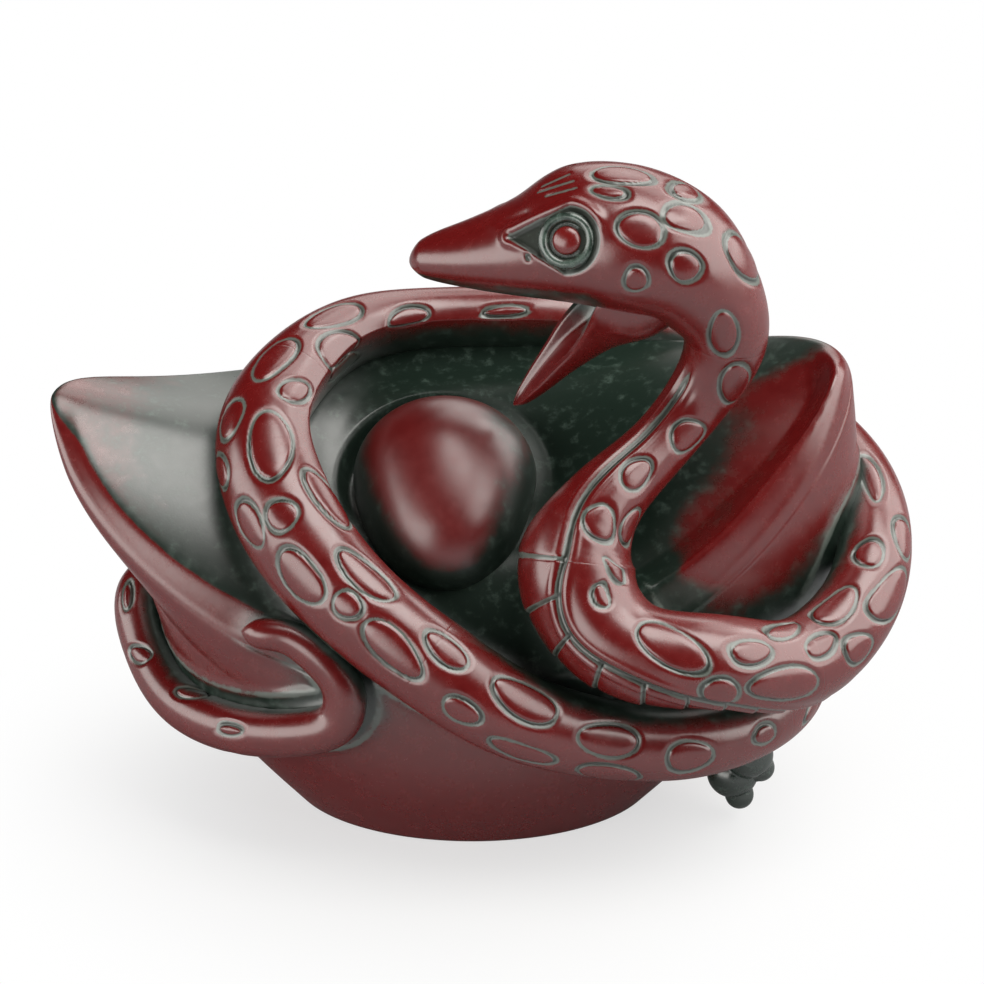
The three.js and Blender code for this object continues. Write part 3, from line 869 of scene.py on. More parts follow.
def rim_band(around, level):
    """Offset that raises a ridge inside the right horn's rim, with a flat band between the two."""
    a = np.radians(around)
    share = smooth(*RIM_BAND_SIDE, np.cos(a)) * smooth(*RIM_BAND_FRONT, np.sin(a))
    width = RIM_BAND_WIDTH * (1 + smooth(*RIM_BAND_WIDENS, np.sin(a))) / 2
    inside = np.clip(level - 1, 0, 1) * deck_breadth(around) / width
    fall = (np.clip(RIM_BAND_END - inside, 0, RIM_BAND_SLOPE) / RIM_BAND_SLOPE) ** 1.5
    rise = RIM_BAND_RISE * share * lesser(inside, fall, RIM_BAND_ROUND)
    tilt = np.radians(DOME_TILT)
    return rise[..., None] * np.array([0, -np.sin(tilt), np.cos(tilt)])


def left_share(around):
    """1 along the front edge of the left horn, 0 elsewhere."""
    a = np.radians(around)
    return smooth(*LEFT_BAND_SIDE, np.cos(a)) * smooth(*LEFT_BAND_FRONT, np.sin(a))


def left_band(around, level):
    """Offset that lets the left horn's edge down and in, so that a steep band lies inside it."""
    inside = np.clip(level - 1, 0, 1) * deck_breadth(around) / LEFT_BAND_WIDTH
    below = np.clip(1 - level, 0, 1) * RIM_BACK_HEIGHT / LEFT_BAND_FALL
    amount = 1 - lesser(inside, 1, LEFT_BAND_ROUND) ** LEFT_BAND_HOLLOW
    amount = left_share(around) * amount * smooth(1, 0, below)
    inward = unit((DOME - rim_edge(around)) * np.array([1, 1, 0]))
    return amount[..., None] * (LEFT_BAND_INSET * inward - LEFT_BAND_DROP * np.array([0, 0, 1]))


def deck_breadth(around):
    """Distance from the rim to the groove round the dome."""
    return np.linalg.norm(rim_edge(around) - deck_circle(around, DOME_RADIUS + GROOVE_WIDTH), axis=-1)


@lru_cache(maxsize=None)
def ingot_survey():
    """Coarse points, outward directions and areas of the ingot's wall and deck."""
    rows = ingot_rows(SURVEY_FINENESS)
    rows = rows[(rows > 0) & (rows <= 2)]
    around = np.arange(0, 360, 4.0)
    points = ingot_points(around, rows)
    along = np.gradient(points, axis=0)
    beside_it = (np.roll(points, -1, axis=1) - np.roll(points, 1, axis=1)) / 2
    cross = np.cross(beside_it, along)
    area = np.linalg.norm(cross, axis=-1)
    return points.reshape(-1, 3), unit(cross + 1e-9).reshape(-1, 3), area.ravel()


# Meshes
def grid_faces(rows, columns):
    """Quads of a grid whose columns close on themselves, and a fan of triangles to a pole at each end."""
    i, j = np.arange(rows - 1)[:, None] * columns, np.arange(columns)[None]
    k = (j + 1) % columns
    quads = np.stack([i + j, i + k, i + columns + k, i + columns + j], -1).reshape(-1, 4)
    pole, last = rows * columns, (rows - 1) * columns
    j, k = j[0], k[0]
    fans = np.concatenate(
        [np.stack([pole + 0 * j, k, j], -1), np.stack([pole + 1 + 0 * j, last + j, last + k], -1)]
    )
    return quads, fans


def add_piece(name, grid, fields, material, nodes, first_pole=None, flat_ends=False):
    """One closed mesh from a grid and a pole in the middle of each end; its fields are attributes."""
    rows, columns = grid.shape[:2]
    first = grid[0].mean(0) if first_pole is None else first_pole
    points = np.concatenate([grid.reshape(-1, 3), [first, grid[-1].mean(0)]])
    quads, fans = grid_faces(rows, columns)
    corners = np.concatenate([quads.ravel(), fans.ravel()])
    counts = np.concatenate([np.full(len(quads), 4), np.full(len(fans), 3)])
    starts = np.concatenate([[0], np.cumsum(counts)[:-1]])
    mesh = bpy.data.meshes.new(name)
    mesh.vertices.add(len(points))
    mesh.vertices.foreach_set("co", (points * MM).astype(np.float32).ravel())
    mesh.loops.add(len(corners))
    mesh.loops.foreach_set("vertex_index", corners.astype(np.int32))
    mesh.polygons.add(len(counts))
    mesh.polygons.foreach_set("loop_start", starts.astype(np.int32))
    mesh.polygons.foreach_set("use_smooth", (counts == 4) | (not flat_ends))
    mesh.update(calc_edges=True)
    if mesh.validate():
        raise RuntimeError(name + " has broken faces")
    for field, values in fields.items():
        ends = [values[0].mean(), values[-1].mean()]
        attribute = mesh.attributes.new(field, "FLOAT", "POINT")
        attribute.data.foreach_set("value", np.concatenate([values.ravel(), ends]).astype(np.float32))
    mesh.materials.append(material)
    piece = bpy.data.objects.new(name, mesh)
    bpy.context.scene.collection.objects.link(piece)
    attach(piece, "root")
    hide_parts(*nodes)
    return piece


# Snake
LAP_RINGS = 2
LAP_SINK = 0.05
TIP_PLAIN = (0.2, 1.5)

# Distance over which the patina beside a neighbour fades
BODY_FADE = 0.8
JAW_FADE = 1.2
DOME_FADE = 1.5
WALL_FADE = 1.9
DECK_FADE = 1.2


def section_grid(name, sides):
    """Lengths, angles, frames and points of a section, with spare rings that lap under the next."""
    start, end = section_span(name)
    count = int(np.ceil((end - start) / RING_STEP))
    step = (end - start) / count
    before = LAP_RINGS if start > 0 else 0
    after = LAP_RINGS if end < SPINE.length - 1e-6 else 0
    lengths = start + step * np.arange(-before, count + 1 + after)
    angles = np.arange(sides) * 2 * np.pi / sides
    frames = SPINE.frames(np.clip(lengths, 0, SPINE.length))
    return lengths, angles, frames, body_points(frames, angles), (before, len(lengths) - after)


def section_fields(name, lengths, sides):
    """Cover and gap of a section, spread from its survey grid."""
    along, _, points, normals = survey(name)
    cover, gap = crevices(points, normals, along, JAW_TAG if name == "head" else None)
    row = (lengths - along[0]) / (along[1] - along[0])
    column = np.arange(sides) * SURVEY_SIDES / sides
    return spread(cover, row, column), spread(gap, row, column)


# Shoulder of the coil beside the dome: share of the half width, share cut off, and where it fades
SHOULDER = 0.6
SHOULDER_CUT = 0.8
SHOULDER_START = 12
SHOULDER_FADE = 8
SHOULDER_PAST = 2


def cut_shoulder(lengths, frames, points):
    """The side of the coil that looks at the dome, pressed flat past a share of the half-width."""
    start, end = section_span("back_arch")[0] + SHOULDER_START, section_span("left_drop")[1]
    share = smooth(start, start + SHOULDER_FADE, lengths)
    share = share * (1 - smooth(end - SHOULDER_FADE, end + SHOULDER_PAST, lengths))
    way = DOME - frames.at
    inner = unit(way - frames.tangent * np.sum(way * frames.tangent, -1, keepdims=True))
    reach = np.sum((points - frames.at[:, None]) * inner[:, None], -1)
    over = np.maximum(reach - SHOULDER * frames.size[:, 2:], 0) * SHOULDER_CUT * share[:, None]
    return points - inner[:, None] * over[..., None]


def add_section(name, looks, material, relief=None):
    """A section of the body: rings moved along their outward direction by the carving."""
    sides = HEAD_SIDES if name == "head" else BODY_SIDES
    lengths, angles, frames, points, (first, last) = section_grid(name, sides)
    points = cut_shoulder(lengths, frames, points)
    normals = grid_normals(points)
    height, carve = spot_relief(lengths, angles, looks)
    belly, lines = belly_relief(lengths, angles, frames.size[:, 2])
    height = height + belly
    carve = np.maximum(carve, lines)
    cover, gap = section_fields(name, lengths, sides)
    fields = {"cover": cover, "near": np.exp(-gap / BODY_FADE), "carve": carve}
    if relief:
        height, fields = relief(points, normals, height, fields)
    tip = np.minimum(lengths, SPINE.length - lengths)[:, None]
    points = points + normals * (height * smooth(*TIP_PLAIN, tip))[..., None]
    joint = np.zeros(len(lengths))
    joint[:first] = joint[last:] = LAP_SINK
    points = points - normals * joint[:, None, None]
    return add_piece("carved_" + name, points, fields, material, [name], flat_ends=True)


# Head carving
EYE_CORNER = np.array([4.5, 0.05])
CORNER_RADIUS = 0.1
SOCKET_RADIUS = 2.5
SOCKET_DEPTH = 0.4
SOCKET_EDGE = 0.35
BROW_PLACE = 0.5
BROW_WIDTH = 0.4
BROW_RISE = 0.28
BROW_SLANT = 0.35
BROW_ABOVE = (0, 1.5)
EYE_SIDE = (-4, -2)
MARKED_SLOPE = (-0.7, 0.1)
# Painted shade under the upper jaw: the slope of the downward faces that get it, and where it starts ahead
# of the hinge
ROOF_SLOPE = (-0.35, -0.75)
ROOF_START = (-2, 0.5)


def eye_axes():
    """Ahead, up and outward directions of the left eye in the head's frame."""
    tilt = np.radians(EYE_TILT)
    up, out = np.array([0, -np.sin(tilt), np.cos(tilt)]), np.array([0, np.cos(tilt), np.sin(tilt)])
    return np.array([1, 0, 0]), up, out


def almond(x, y):
    """Distance outside an eye's outline: a disc drawn out to a corner, its radius shrinking."""
    share = np.clip((x * EYE_CORNER[0] + y * EYE_CORNER[1]) / (EYE_CORNER @ EYE_CORNER), 0, 1)
    apart = np.hypot(x - share * EYE_CORNER[0], y - share * EYE_CORNER[1])
    return apart - SOCKET_RADIUS * (1 - share) - CORNER_RADIUS * share


def stroke(pixels, start, end, width):
    """A soft line between two photograph pixels: 1 along it, falling off within a width in pixels."""
    start, along = np.array(start), np.array(end) - np.array(start)
    share = np.clip(((pixels - start) @ along) / (along @ along), 0, 1)
    return bell(np.linalg.norm(pixels - start - share[..., None] * along, axis=-1), width)


# Strokes of the carving by the photograph's columns and rows: where each starts and ends, its width in
# pixels, and its depth in millimetres
BROW_LINES = [((537, 192), (574, 180)), ((545, 196), (577, 187)), ((541, 186), (570, 173))]
BROW_LINE_WIDTH = 1.1
BROW_LINE_DEPTH = 0.14
BROW_LINE_DUST = 0.6
NOSTRIL = ((492, 225), (493, 225))
NOSTRIL_WIDTH = 6
NOSTRIL_RISE = 0.08
SNOUT_PIT = ((527, 256), (528, 259))
PIT_WIDTH = 2.6
PIT_DEPTH = 0.25
NOSE_HOLLOW = ((504, 221), (526, 213))
HOLLOW_WIDTH = 4
HOLLOW_DEPTH = 0.12
SOCKET_CARVE = 2
COVER_SHARE = 0.8


def head_relief(points, normals, height, fields):
    """Eye sockets, brows, nostrils and the hollow roof of the mouth, alike on both sides of the head, with
    painted shade on the roof's downward faces.
    """
    local = world_to_head(points)
    near = local * np.array([1, 0, 1]) + np.abs(local) * np.array([0, 1, 0])
    ahead, up, out = eye_axes()
    offset = near - EYE
    x, y, z = offset @ ahead, offset @ up, offset @ out
    beyond = almond(x, y)
    beside_eye = smooth(*EYE_SIDE, z)
    socket = smooth(SOCKET_EDGE, -SOCKET_EDGE, beyond) * beside_eye
    brow = bell(beyond - BROW_PLACE, BROW_WIDTH) * smooth(*BROW_ABOVE, y + BROW_SLANT * x) * beside_eye
    pixels = photo_pixels(head_to_world(near))[..., :2]
    lines = sum(stroke(pixels, *line, BROW_LINE_WIDTH) for line in BROW_LINES)
    nostril = stroke(pixels, *NOSTRIL, NOSTRIL_WIDTH)
    pit = stroke(pixels, *SNOUT_PIT, PIT_WIDTH)
    hollow = stroke(pixels, *NOSE_HOLLOW, HOLLOW_WIDTH)
    upward = normals @ np.array([0, 0, 1])
    upper = smooth(*MARKED_SLOPE, upward)
    height = height * (1 - socket) - SOCKET_DEPTH * socket + BROW_RISE * brow
    marks = NOSTRIL_RISE * nostril - PIT_DEPTH * pit
    marks = marks - BROW_LINE_DEPTH * np.clip(lines, 0, 1) - HOLLOW_DEPTH * hollow
    # Painted shade: faces that look down, ahead of the hinge, are darkened through the cover field
    painted_roof_shade = smooth(*ROOF_SLOPE, upward) * smooth(*ROOF_START, local[..., 0])
    marked = SOCKET_CARVE * socket + upper * np.clip(pit + BROW_LINE_DUST * lines, 0, 1)
    fields = dict(fields)
    fields["carve"] = np.maximum(fields["carve"] * (1 - socket), marked)
    fields["cover"] = np.clip(fields["cover"] * COVER_SHARE + painted_roof_shade, 0, 1)
    return height + upper * marks, fields


# Lower jaw, before it swings down: ahead, half width, depth and trough
JAW_STATIONS = np.array(
    [
        (-3.5, 4.4, 6.6, 0.4),
        (0, 4.2, 5.5, 0.8),
        (3, 3, 3.5, 0.9),
        (6.5, 2, 2.2, 0.4),
        (9.8, 1.35, 1.3, 0.2),
        (12.4, 0.5, 0.5, 0.1),
    ]
)
JAW_ROLL = 24
JAW_ROLL_SPAN = (-1, 6)
JAW_SIDES = 180
JAW_RINGS = 150
JAW_EDGE = 0.6
JAW_TIP_START = 4.55
JAW_TIP_LENGTH = 0.46
JAW_TIP_LEAST = 0.0004
TROUGH_EDGE = (0.6, 0.85)
TROUGH_DROP = 1.6
TROUGH_DARK = (5, 3)
TROUGH_DUST = 0.45
TROUGH_DUST_EDGE = (0.6, 0.8)
JAW_OUTSIDE = 0.35


def jaw_to_world(points):
    """From the closed jaw's frame to the ornament's: a swing about the hinge, then the head's place."""
    gape = np.radians(JAW_GAPE)
    turn = np.array([[np.cos(gape), 0, np.sin(gape)], [0, 1, 0], [-np.sin(gape), 0, np.cos(gape)]])
    return head_to_world(points @ turn.T)


def add_jaw(material):
    """A trough: half an oval below, squared by a power of the sine, and a floor sunk by an S-shaped step."""
    t = np.linspace(0, len(JAW_STATIONS) - 1, JAW_RINGS)
    ahead, wide, depth, trough = curve(JAW_STATIONS, t).T[..., None]
    a = np.arange(JAW_SIDES) * 2 * np.pi / JAW_SIDES
    top, steep = np.sin(a) > 0, np.abs(np.sin(a))
    inside = smooth(*TROUGH_EDGE, steep)
    drop = np.where(top, trough * inside * TROUGH_DROP, depth * steep**JAW_EDGE)
    tip = np.clip((t - JAW_TIP_START) / JAW_TIP_LENGTH, 0, 1)
    tip = np.sqrt(np.clip(1 - tip**2, JAW_TIP_LEAST, 1))[:, None]
    roll = np.radians(JAW_ROLL) * smooth(*JAW_ROLL_SPAN, ahead)
    y, z = wide * np.cos(a) * tip, -drop * tip
    across, upward = y * np.cos(roll) + z * np.sin(roll), z * np.cos(roll) - y * np.sin(roll)
    points = jaw_to_world(np.stack([ahead + 0 * a, across, upward], -1))
    cover, gap = spread_crevices(points, row_step=6, column_step=5, skip=JAW_TAG)
    dark = np.where(top, inside, 0) * smooth(*TROUGH_DARK, ahead)
    dusty = TROUGH_DUST * np.where(top, smooth(*TROUGH_DUST_EDGE, steep), 0) * smooth(*TROUGH_DARK, ahead)
    shaded = np.where(top, 1, JAW_OUTSIDE)
    near = np.exp(-gap / JAW_FADE) * shaded
    fields = {"cover": np.maximum(cover * shaded, dark), "near": near, "carve": dusty}
    return add_piece("carved_lower_jaw", points, fields, material, ["lower_jaw"])


# Turned pieces
def turned(profile, sides):
    """A profile of radius and height turned about +Z."""
    radius, height = profile.T[..., None]
    a = np.arange(sides) * 2 * np.pi / sides
    return np.stack([radius * np.cos(a), radius * np.sin(a), height + 0 * a], -1)


def add_eye(name, side, material):
    """A bead in the middle of a raised ring, as a height over the distance from the eye's axis."""
    r = np.linspace(AXIS_RADIUS, EYE_RADIUS + EYE_LAP, EYE_RINGS)
    crown = BEAD_BASE + BEAD_RISE * np.sqrt(np.clip(1 - (r / EYE_BEAD) ** 2, 0, 1))
    ring = EYE_RING_RISE * np.sqrt(np.clip(1 - ((r - EYE_RING) / EYE_RING_HALF) ** 2, 0, 1))
    height = np.where(r < EYE_BEAD, crown, np.maximum(ring, EYE_FLOOR))
    plug = [[AXIS_RADIUS, -EYE_SEAT], [EYE_RADIUS, -EYE_SEAT]]
    local = turned(np.concatenate([plug, np.stack([r, height], -1)[::-1]]), EYE_SIDES)
    ahead, up, out = eye_axes()
    mirror = np.array([1, side, 1])
    place = (EYE + local[..., :1] * ahead + local[..., 1:2] * up + local[..., 2:] * out) * mirror
    points = head_to_world(place)
    if side > 0:
        points = points[:, ::-1]
    reach = np.linalg.norm(local[..., :2], axis=-1)
    bead = smooth(EYE_BEAD + BEAD_EDGE[1], EYE_BEAD - BEAD_EDGE[0], reach)
    fields = {"bead": bead, "ring": bell(reach - EYE_RING, EYE_RING_DUST)}
    return add_piece("carved_" + name, points, fields, material, [name])


def add_dome(material):
    """A quarter circle turned about the dome's axis on a straight plug, then drawn out to an egg."""
    rows = np.linspace(0, np.pi / 2, DOME_RINGS)[:-1]
    arc = DOME_RADIUS * np.stack([np.cos(rows), np.sin(rows)], -1)
    plug = [[PLUG_AXIS, -DOME_PLUG], [DOME_RADIUS, -DOME_PLUG], [DOME_RADIUS, -DOME_PLUG / 2]]
    local = turned(np.concatenate([plug, arc]), DOME_SIDES)
    tilt = np.radians(DOME_TILT)
    turn = np.array([[1, 0, 0], [0, np.cos(tilt), -np.sin(tilt)], [0, np.sin(tilt), np.cos(tilt)]])
    stretch = 1 + (DOME_FRONT - 1) * smooth(*DOME_DRAWN, local[..., 1])
    shape = np.stack([local[..., 0] * DOME_SIDE, local[..., 1] * stretch, local[..., 2]], -1)
    points = DOME + shape @ turn.T
    cover, gap = spread_crevices(points, row_step=4, column_step=5, skip=DOME_TAG)
    base = smooth(DOME_STAIN, 0, local[..., 2])
    fields = {"cover": cover, "near": np.maximum(np.exp(-gap / DOME_FADE), base), "carve": 0 * cover}
    return add_piece("carved_dome", points, fields, material, ["ingot_dome"])


def add_lug(material):
    """A clump of balls seen from the middle of the first: along each direction the furthest way out."""
    places = np.array([lobe[:3] for lobe in LUG_LOBES])
    radii = np.array([lobe[3] for lobe in LUG_LOBES])
    a = np.arange(LUG_SIDES) * 2 * np.pi / LUG_SIDES
    rise = np.radians(np.linspace(-LUG_STEEPEST, LUG_STEEPEST, LUG_RINGS))[:, None]
    ways = np.stack([np.cos(rise) * np.cos(a), np.cos(rise) * np.sin(a), np.sin(rise) + 0 * a], -1)
    offsets = places - places[0]
    along = ways @ offsets.T
    inner = along**2 - np.sum(offsets**2, 1) + radii**2
    out = np.where(inner > 0, along + np.sqrt(np.maximum(inner, 0)), 0)
    reach = np.sum(np.clip(out, 0, None) ** LUG_SHARPNESS, -1) ** (1 / LUG_SHARPNESS)
    points = LUG + places[0] + ways * reach[..., None]
    fields = {"bead": 0 * reach, "ring": 0 * reach}
    return add_piece("carved_lug", points, fields, material, ["support_lug"])


# Fillet and ledge where a coil meets the ingot, with a painted highlight along the ledge
GAP_STEP = 0.15
GAP_BLOCKS = 60
FILLET_REACH = 2
LEDGE_PLACE = 1.35
LEDGE_HEIGHT = 0.22
LEDGE_WIDTH = 0.42
# Pale line painted along the ledge's crest: a painted highlight, edged by dark patina
LEDGE_PAINTED_HIGHLIGHT = 0.45
LEDGE_HIGHLIGHT_WIDTH = 0.36
RIGHT_LEDGE_SIDE = (12, 15)
RIGHT_LEDGE_FRONT = (4, 1)

# Rows of the ingot's grid: where the fillet starts and ends, where the wall ends and the deck begins
FILLET_START = (0.04, 0.1)
FILLET_END = 2.05
WALL_END = (1, 0.95)
DECK_START = (0.97, 1.02)

# Patina on the deck: where each horn begins, distances from the coils and the rims in millimetres, and how
# strong it is; the last three set a line of painted shade just inside the left horn's rim
LEFT_HORN = (-5, -13)
RIGHT_HORN = (13, 18)
GRIMY_GAP = (4.5, 1.5)
GRIMY_BACK = 0.85
BACK_SIDE = (0.05, 0.35)
BARE_RIM = 0.3
PAINT_EDGE = 0.6
LEFT_PAINT = 0.68
PAINT_GAP = (13, 4)
RIM_PAINTED_SHADE = 0.85
RIM_SHADE_PLACE = 0.1
RIM_SHADE_WIDTH = 0.3


def coil_gap(points):
    """Distance from each point to the skin of the nearest coil."""
    frames = SPINE.frames(np.arange(section_span("neck")[0], SPINE.length, GAP_STEP))
    radius = frames.size.mean(1)
    squares = np.sum(frames.at**2, 1)
    gaps = []
    for block in np.array_split(points.reshape(-1, 3), GAP_BLOCKS):
        apart = np.sum(block**2, 1)[:, None] + squares - 2 * block @ frames.at.T
        gaps.append(np.min(np.sqrt(np.maximum(apart, 0)) - radius, 1))
    return np.concatenate(gaps).reshape(points.shape[:-1])


def add_ingot(material):
    """The skin of the ingot as one grid, from the underside's middle to the floor below the dome."""
    rows = ingot_rows(INGOT_FINENESS)
    around = np.arange(INGOT_SIDES) * 360 / INGOT_SIDES
    points = ingot_points(around, rows)
    gap = coil_gap(points)
    above = smooth(*FILLET_START, rows)[:, None] * (rows < FILLET_END)[:, None]
    fillet = np.clip(1 - gap / FILLET_REACH, 0, 1) ** 2 * FILLET_REACH / 4
    by_right_horn = smooth(*RIGHT_LEDGE_SIDE, points[..., 0]) * smooth(*RIGHT_LEDGE_FRONT, points[..., 1])
    ridged = np.maximum(smooth(*WALL_END, rows)[:, None], by_right_horn)
    ledge = LEDGE_HEIGHT * bell(gap - LEDGE_PLACE, LEDGE_WIDTH) * ridged
    points = points + grid_normals(points) * (above * (fillet + ledge))[..., None]
    cover = spread_crevices(points, row_step=3, column_step=4, ingot=False)[0]
    deck = smooth(*DECK_START, rows)[:, None]
    inside = (rows[:, None] - 1) * deck_breadth(around)
    left, right = smooth(*LEFT_HORN, points[..., 0]), smooth(*RIGHT_HORN, points[..., 0])
    behind = smooth(*BACK_SIDE, np.sin(np.radians(around)))
    grimy = np.maximum(smooth(*GRIMY_GAP, gap), behind * GRIMY_BACK)
    edge = LEFT_BAND_WIDTH * left_share(around) + BARE_RIM
    strength = LEFT_PAINT + (1 - LEFT_PAINT) * smooth(*PAINT_GAP, gap)
    painted = left * smooth(edge, edge + PAINT_EDGE, inside) * strength
    painted = painted + (1 - left) * (1 - right) + right * grimy
    near = np.exp(-np.maximum(gap, 0) / np.where(rows < 1, WALL_FADE, DECK_FADE)[:, None])
    # Painted shade: a dark line just inside the left horn's rim, where its bevel reflects less light
    near = np.maximum(near, RIM_PAINTED_SHADE * left * bell(inside - edge - RIM_SHADE_PLACE, RIM_SHADE_WIDTH))
    fields = {
        "cover": cover,
        "near": near,
        # painted highlight: a pale line along the ledge's crest
        "carve": LEDGE_PAINTED_HIGHLIGHT * bell(gap - LEDGE_PLACE, LEDGE_HIGHLIGHT_WIDTH) * ridged,
        "deck": deck * painted,
        "dull": deck * (1 - left) * (1 - right),
    }
    return add_piece("carved_ingot", points, fields, material, ["ingot_hull"], np.zeros(3))


# Materials
GLOSS_IOR = 2.05
BUMP_DISTANCE = 0.000006
GRAIN_BUMP = 0.6
MOTTLE_BUMP = 0.8
WHITE = (1, 1, 1, 1)

# Cloudy patterns: lumps to the metre, detail and roughness
CLOUDS = (260, 4, 0.6)
MOTTLE = (900, 4, 0.65)
DARK_MOTTLE = (1400, 4, 0.65)
GRAIN = (6500, 2, 0.6)
FLOOR_CLOUDS = (3, 3, 0.55)

# Patina: shares of what it gathers by, and the sums between which it grows
COVER_PATINA = 0.7
NEAR_PATINA = 0.95
DECK_PATINA = 0.75
CLOUD_SMEAR = 0.5
MOTTLE_SMEAR = 0.35
PATINA_RANGE = (0.38, 0.85)
DRY_RANGE = (0.5, 0.85)
RING_DRYNESS = 0.25

# Carved lines: how evenly they are filled, where they are dark and where the pale dust with painted sheen
# stays, and open hollows
LINE_FILL = 0.4
LINE_CLOUDS = 1.2
LINE_RANGE = (0.2, 0.42)
LINE_CORE = (0.5, 0.8)
LINE_PATINA = 0.95
LINE_DUST_AND_SHEEN = 0.8
HOLLOW_RANGE = (1.2, 1.8)

# Gloss: what the pattern, the patina and the hollows add to the roughness, and how matt dull places are
MOTTLE_ROUGHNESS = 0.16
DARK_MOTTLE_ROUGHNESS = 0.2
PATINA_ROUGHNESS = 0.05
HOLLOW_ROUGHNESS = 0.35
DOME_ROUGHNESS = 0.08
DULL_DECK = 0.8
DULL_HOLLOW = 0.75


class Value:
    """A shader value: arithmetic on it adds Math nodes to its board."""

    def __init__(self, board, socket):
        self.board = board
        self.socket = socket

    def math(self, operation, first, second):
        """A Math node on two values or numbers."""
        return self.board.node("ShaderNodeMath", {"operation": operation}, {0: first, 1: second})

    def __add__(self, other):
        return self.math("ADD", self, other)

    __radd__ = __add__

    def __sub__(self, other):
        return self.math("SUBTRACT", self, other)

    def __rsub__(self, other):
        return self.math("SUBTRACT", other, self)

    def __mul__(self, other):
        return self.math("MULTIPLY", self, other)

    __rmul__ = __mul__

    def highest(self, other):
        """The greater of this value and another."""
        return self.math("MAXIMUM", self, other)


class Board:
    """A node tree that is filled node by node."""

    def __init__(self, tree):
        self.tree = tree
        tree.nodes.clear()

    def node(self, kind, settings=None, inputs=None, output=0):
        """Adds a node with its settings, then its sockets' values or links, and hands back one output."""
        made = self.tree.nodes.new(kind)
        for name, setting in (settings or {}).items():
            setattr(made, name, setting)
        for key, given in (inputs or {}).items():
            socket = made.inputs[key] if isinstance(key, int) else self.find(made.inputs, key)
            if isinstance(given, Value):
                self.tree.links.new(given.socket, socket)
            else:
                socket.default_value = given
        if not made.outputs:
            return None
        socket = made.outputs[output] if isinstance(output, int) else self.find(made.outputs, output)
        return Value(self, socket)

    @staticmethod
    def find(sockets, key):
        """The socket with that identifier, or else with that name."""
        named = [s for s in sockets if s.identifier == key] or [s for s in sockets if s.name == key]
        return named[0]

    def attribute(self, name):
        """A field of the piece, by its name."""
        return self.node("ShaderNodeAttribute", {"attribute_name": name}, output="Fac")

    def noise(self, vector, scale, detail, rough):
        """A cloudy pattern with values about one half."""
        sockets = {"Vector": vector, "Scale": scale, "Detail": detail, "Roughness": rough}
        return self.node("ShaderNodeTexNoise", {}, sockets, "Fac")

    def ramp(self, value, low, high):
        """An S-shaped rise from 0 at low to 1 at high."""
        sockets = {"Value": value, "From Min": low, "From Max": high}
        return self.node("ShaderNodeMapRange", {"interpolation_type": "SMOOTHSTEP"}, sockets, "Result")

    def matt(self, colour, **sockets):
        """A shader with no gloss."""
        sockets |= {"Base Color": colour, "Roughness": 1.0, "Specular IOR Level": 0.0}
        return self.node("ShaderNodeBsdfPrincipled", {}, sockets)

    def blend(self, share, first, second):
        """The first colour where the share is 0, the second where it is 1."""
        sockets = {"Factor_Float": share, "A_Color": first, "B_Color": second}
        return self.node("ShaderNodeMix", {"data_type": "RGBA"}, sockets, "Result_Color")


def rgba(colour):
    """A setting's colour with full opacity."""
    return (*colour, 1.0)


def new_material(name):
    """A material and its empty board."""
    material = bpy.data.materials.new(name)
    material.use_nodes = True
    return material, Board(material.node_tree)


def finished(board, colour, rough, relief, dull=None):
    """The glossy resin shader with its three varying inputs, mixed with a matt one where it is dull."""
    sockets = {"Strength": 1.0, "Distance": BUMP_DISTANCE, "Height": relief}
    normal = board.node("ShaderNodeBump", {}, sockets)
    sockets = {"Base Color": colour, "Roughness": rough, "Normal": normal, "IOR": GLOSS_IOR}
    shader = board.node("ShaderNodeBsdfPrincipled", {}, sockets)
    if dull is not None:
        matt = board.matt(colour, Normal=normal)
        shader = board.node("ShaderNodeMixShader", {}, {0: dull, 1: shader, 2: matt})
    board.node("ShaderNodeOutputMaterial", {}, {"Surface": shader})


def resin_material(name, finish, deck=False, dulled=0):
    """Deep red resin with a black-green patina that gathers in crevices and carved lines, and a pale band
    along the lines that is dust with a painted sheen on the groove's edge.
    """
    material, board = new_material(name)
    place = board.node("ShaderNodeTexCoord", output="Object")
    clouds, mottle, grain = (board.noise(place, *pattern) for pattern in (CLOUDS, MOTTLE, GRAIN))
    cover, near, carve = (board.attribute(field) for field in ("cover", "near", "carve"))
    uneven = (mottle - 0.5) * MOTTLE_SMEAR
    smear = (clouds - 0.5) * CLOUD_SMEAR + uneven
    shade = cover * COVER_PATINA + near * NEAR_PATINA + smear
    if deck:
        shade = shade + board.attribute("deck") * DECK_PATINA
    worn = carve * (LINE_FILL + clouds * LINE_CLOUDS) + uneven
    line = board.ramp(worn, *LINE_RANGE)
    # Pale band along the outer part of each carved line: dust, lightened as a painted sheen on the groove's
    # edge
    dust_and_sheen = line * (1 - board.ramp(worn, *LINE_CORE))
    dark = board.ramp(shade, *PATINA_RANGE).highest(line * LINE_PATINA)
    red = board.blend(mottle, rgba(finish.deep_red), rgba(finish.warm_red))
    patina = board.blend(board.ramp(mottle, *DRY_RANGE), rgba(finish.patina), rgba(finish.dry_patina))
    patina = board.blend(dust_and_sheen * LINE_DUST_AND_SHEEN, patina, rgba(finish.dust_and_sheen))
    colour = board.blend(dark, red, patina)
    hollow = board.ramp(carve, *HOLLOW_RANGE)
    rough = finish.roughness + dulled + (mottle - 0.5) * MOTTLE_ROUGHNESS
    rough = rough + dark * PATINA_ROUGHNESS + hollow * HOLLOW_ROUGHNESS
    dull = board.attribute("dull") * DULL_DECK if deck else hollow * DULL_HOLLOW
    finished(board, colour, rough, grain * GRAIN_BUMP + mottle * MOTTLE_BUMP, dull)
    return material


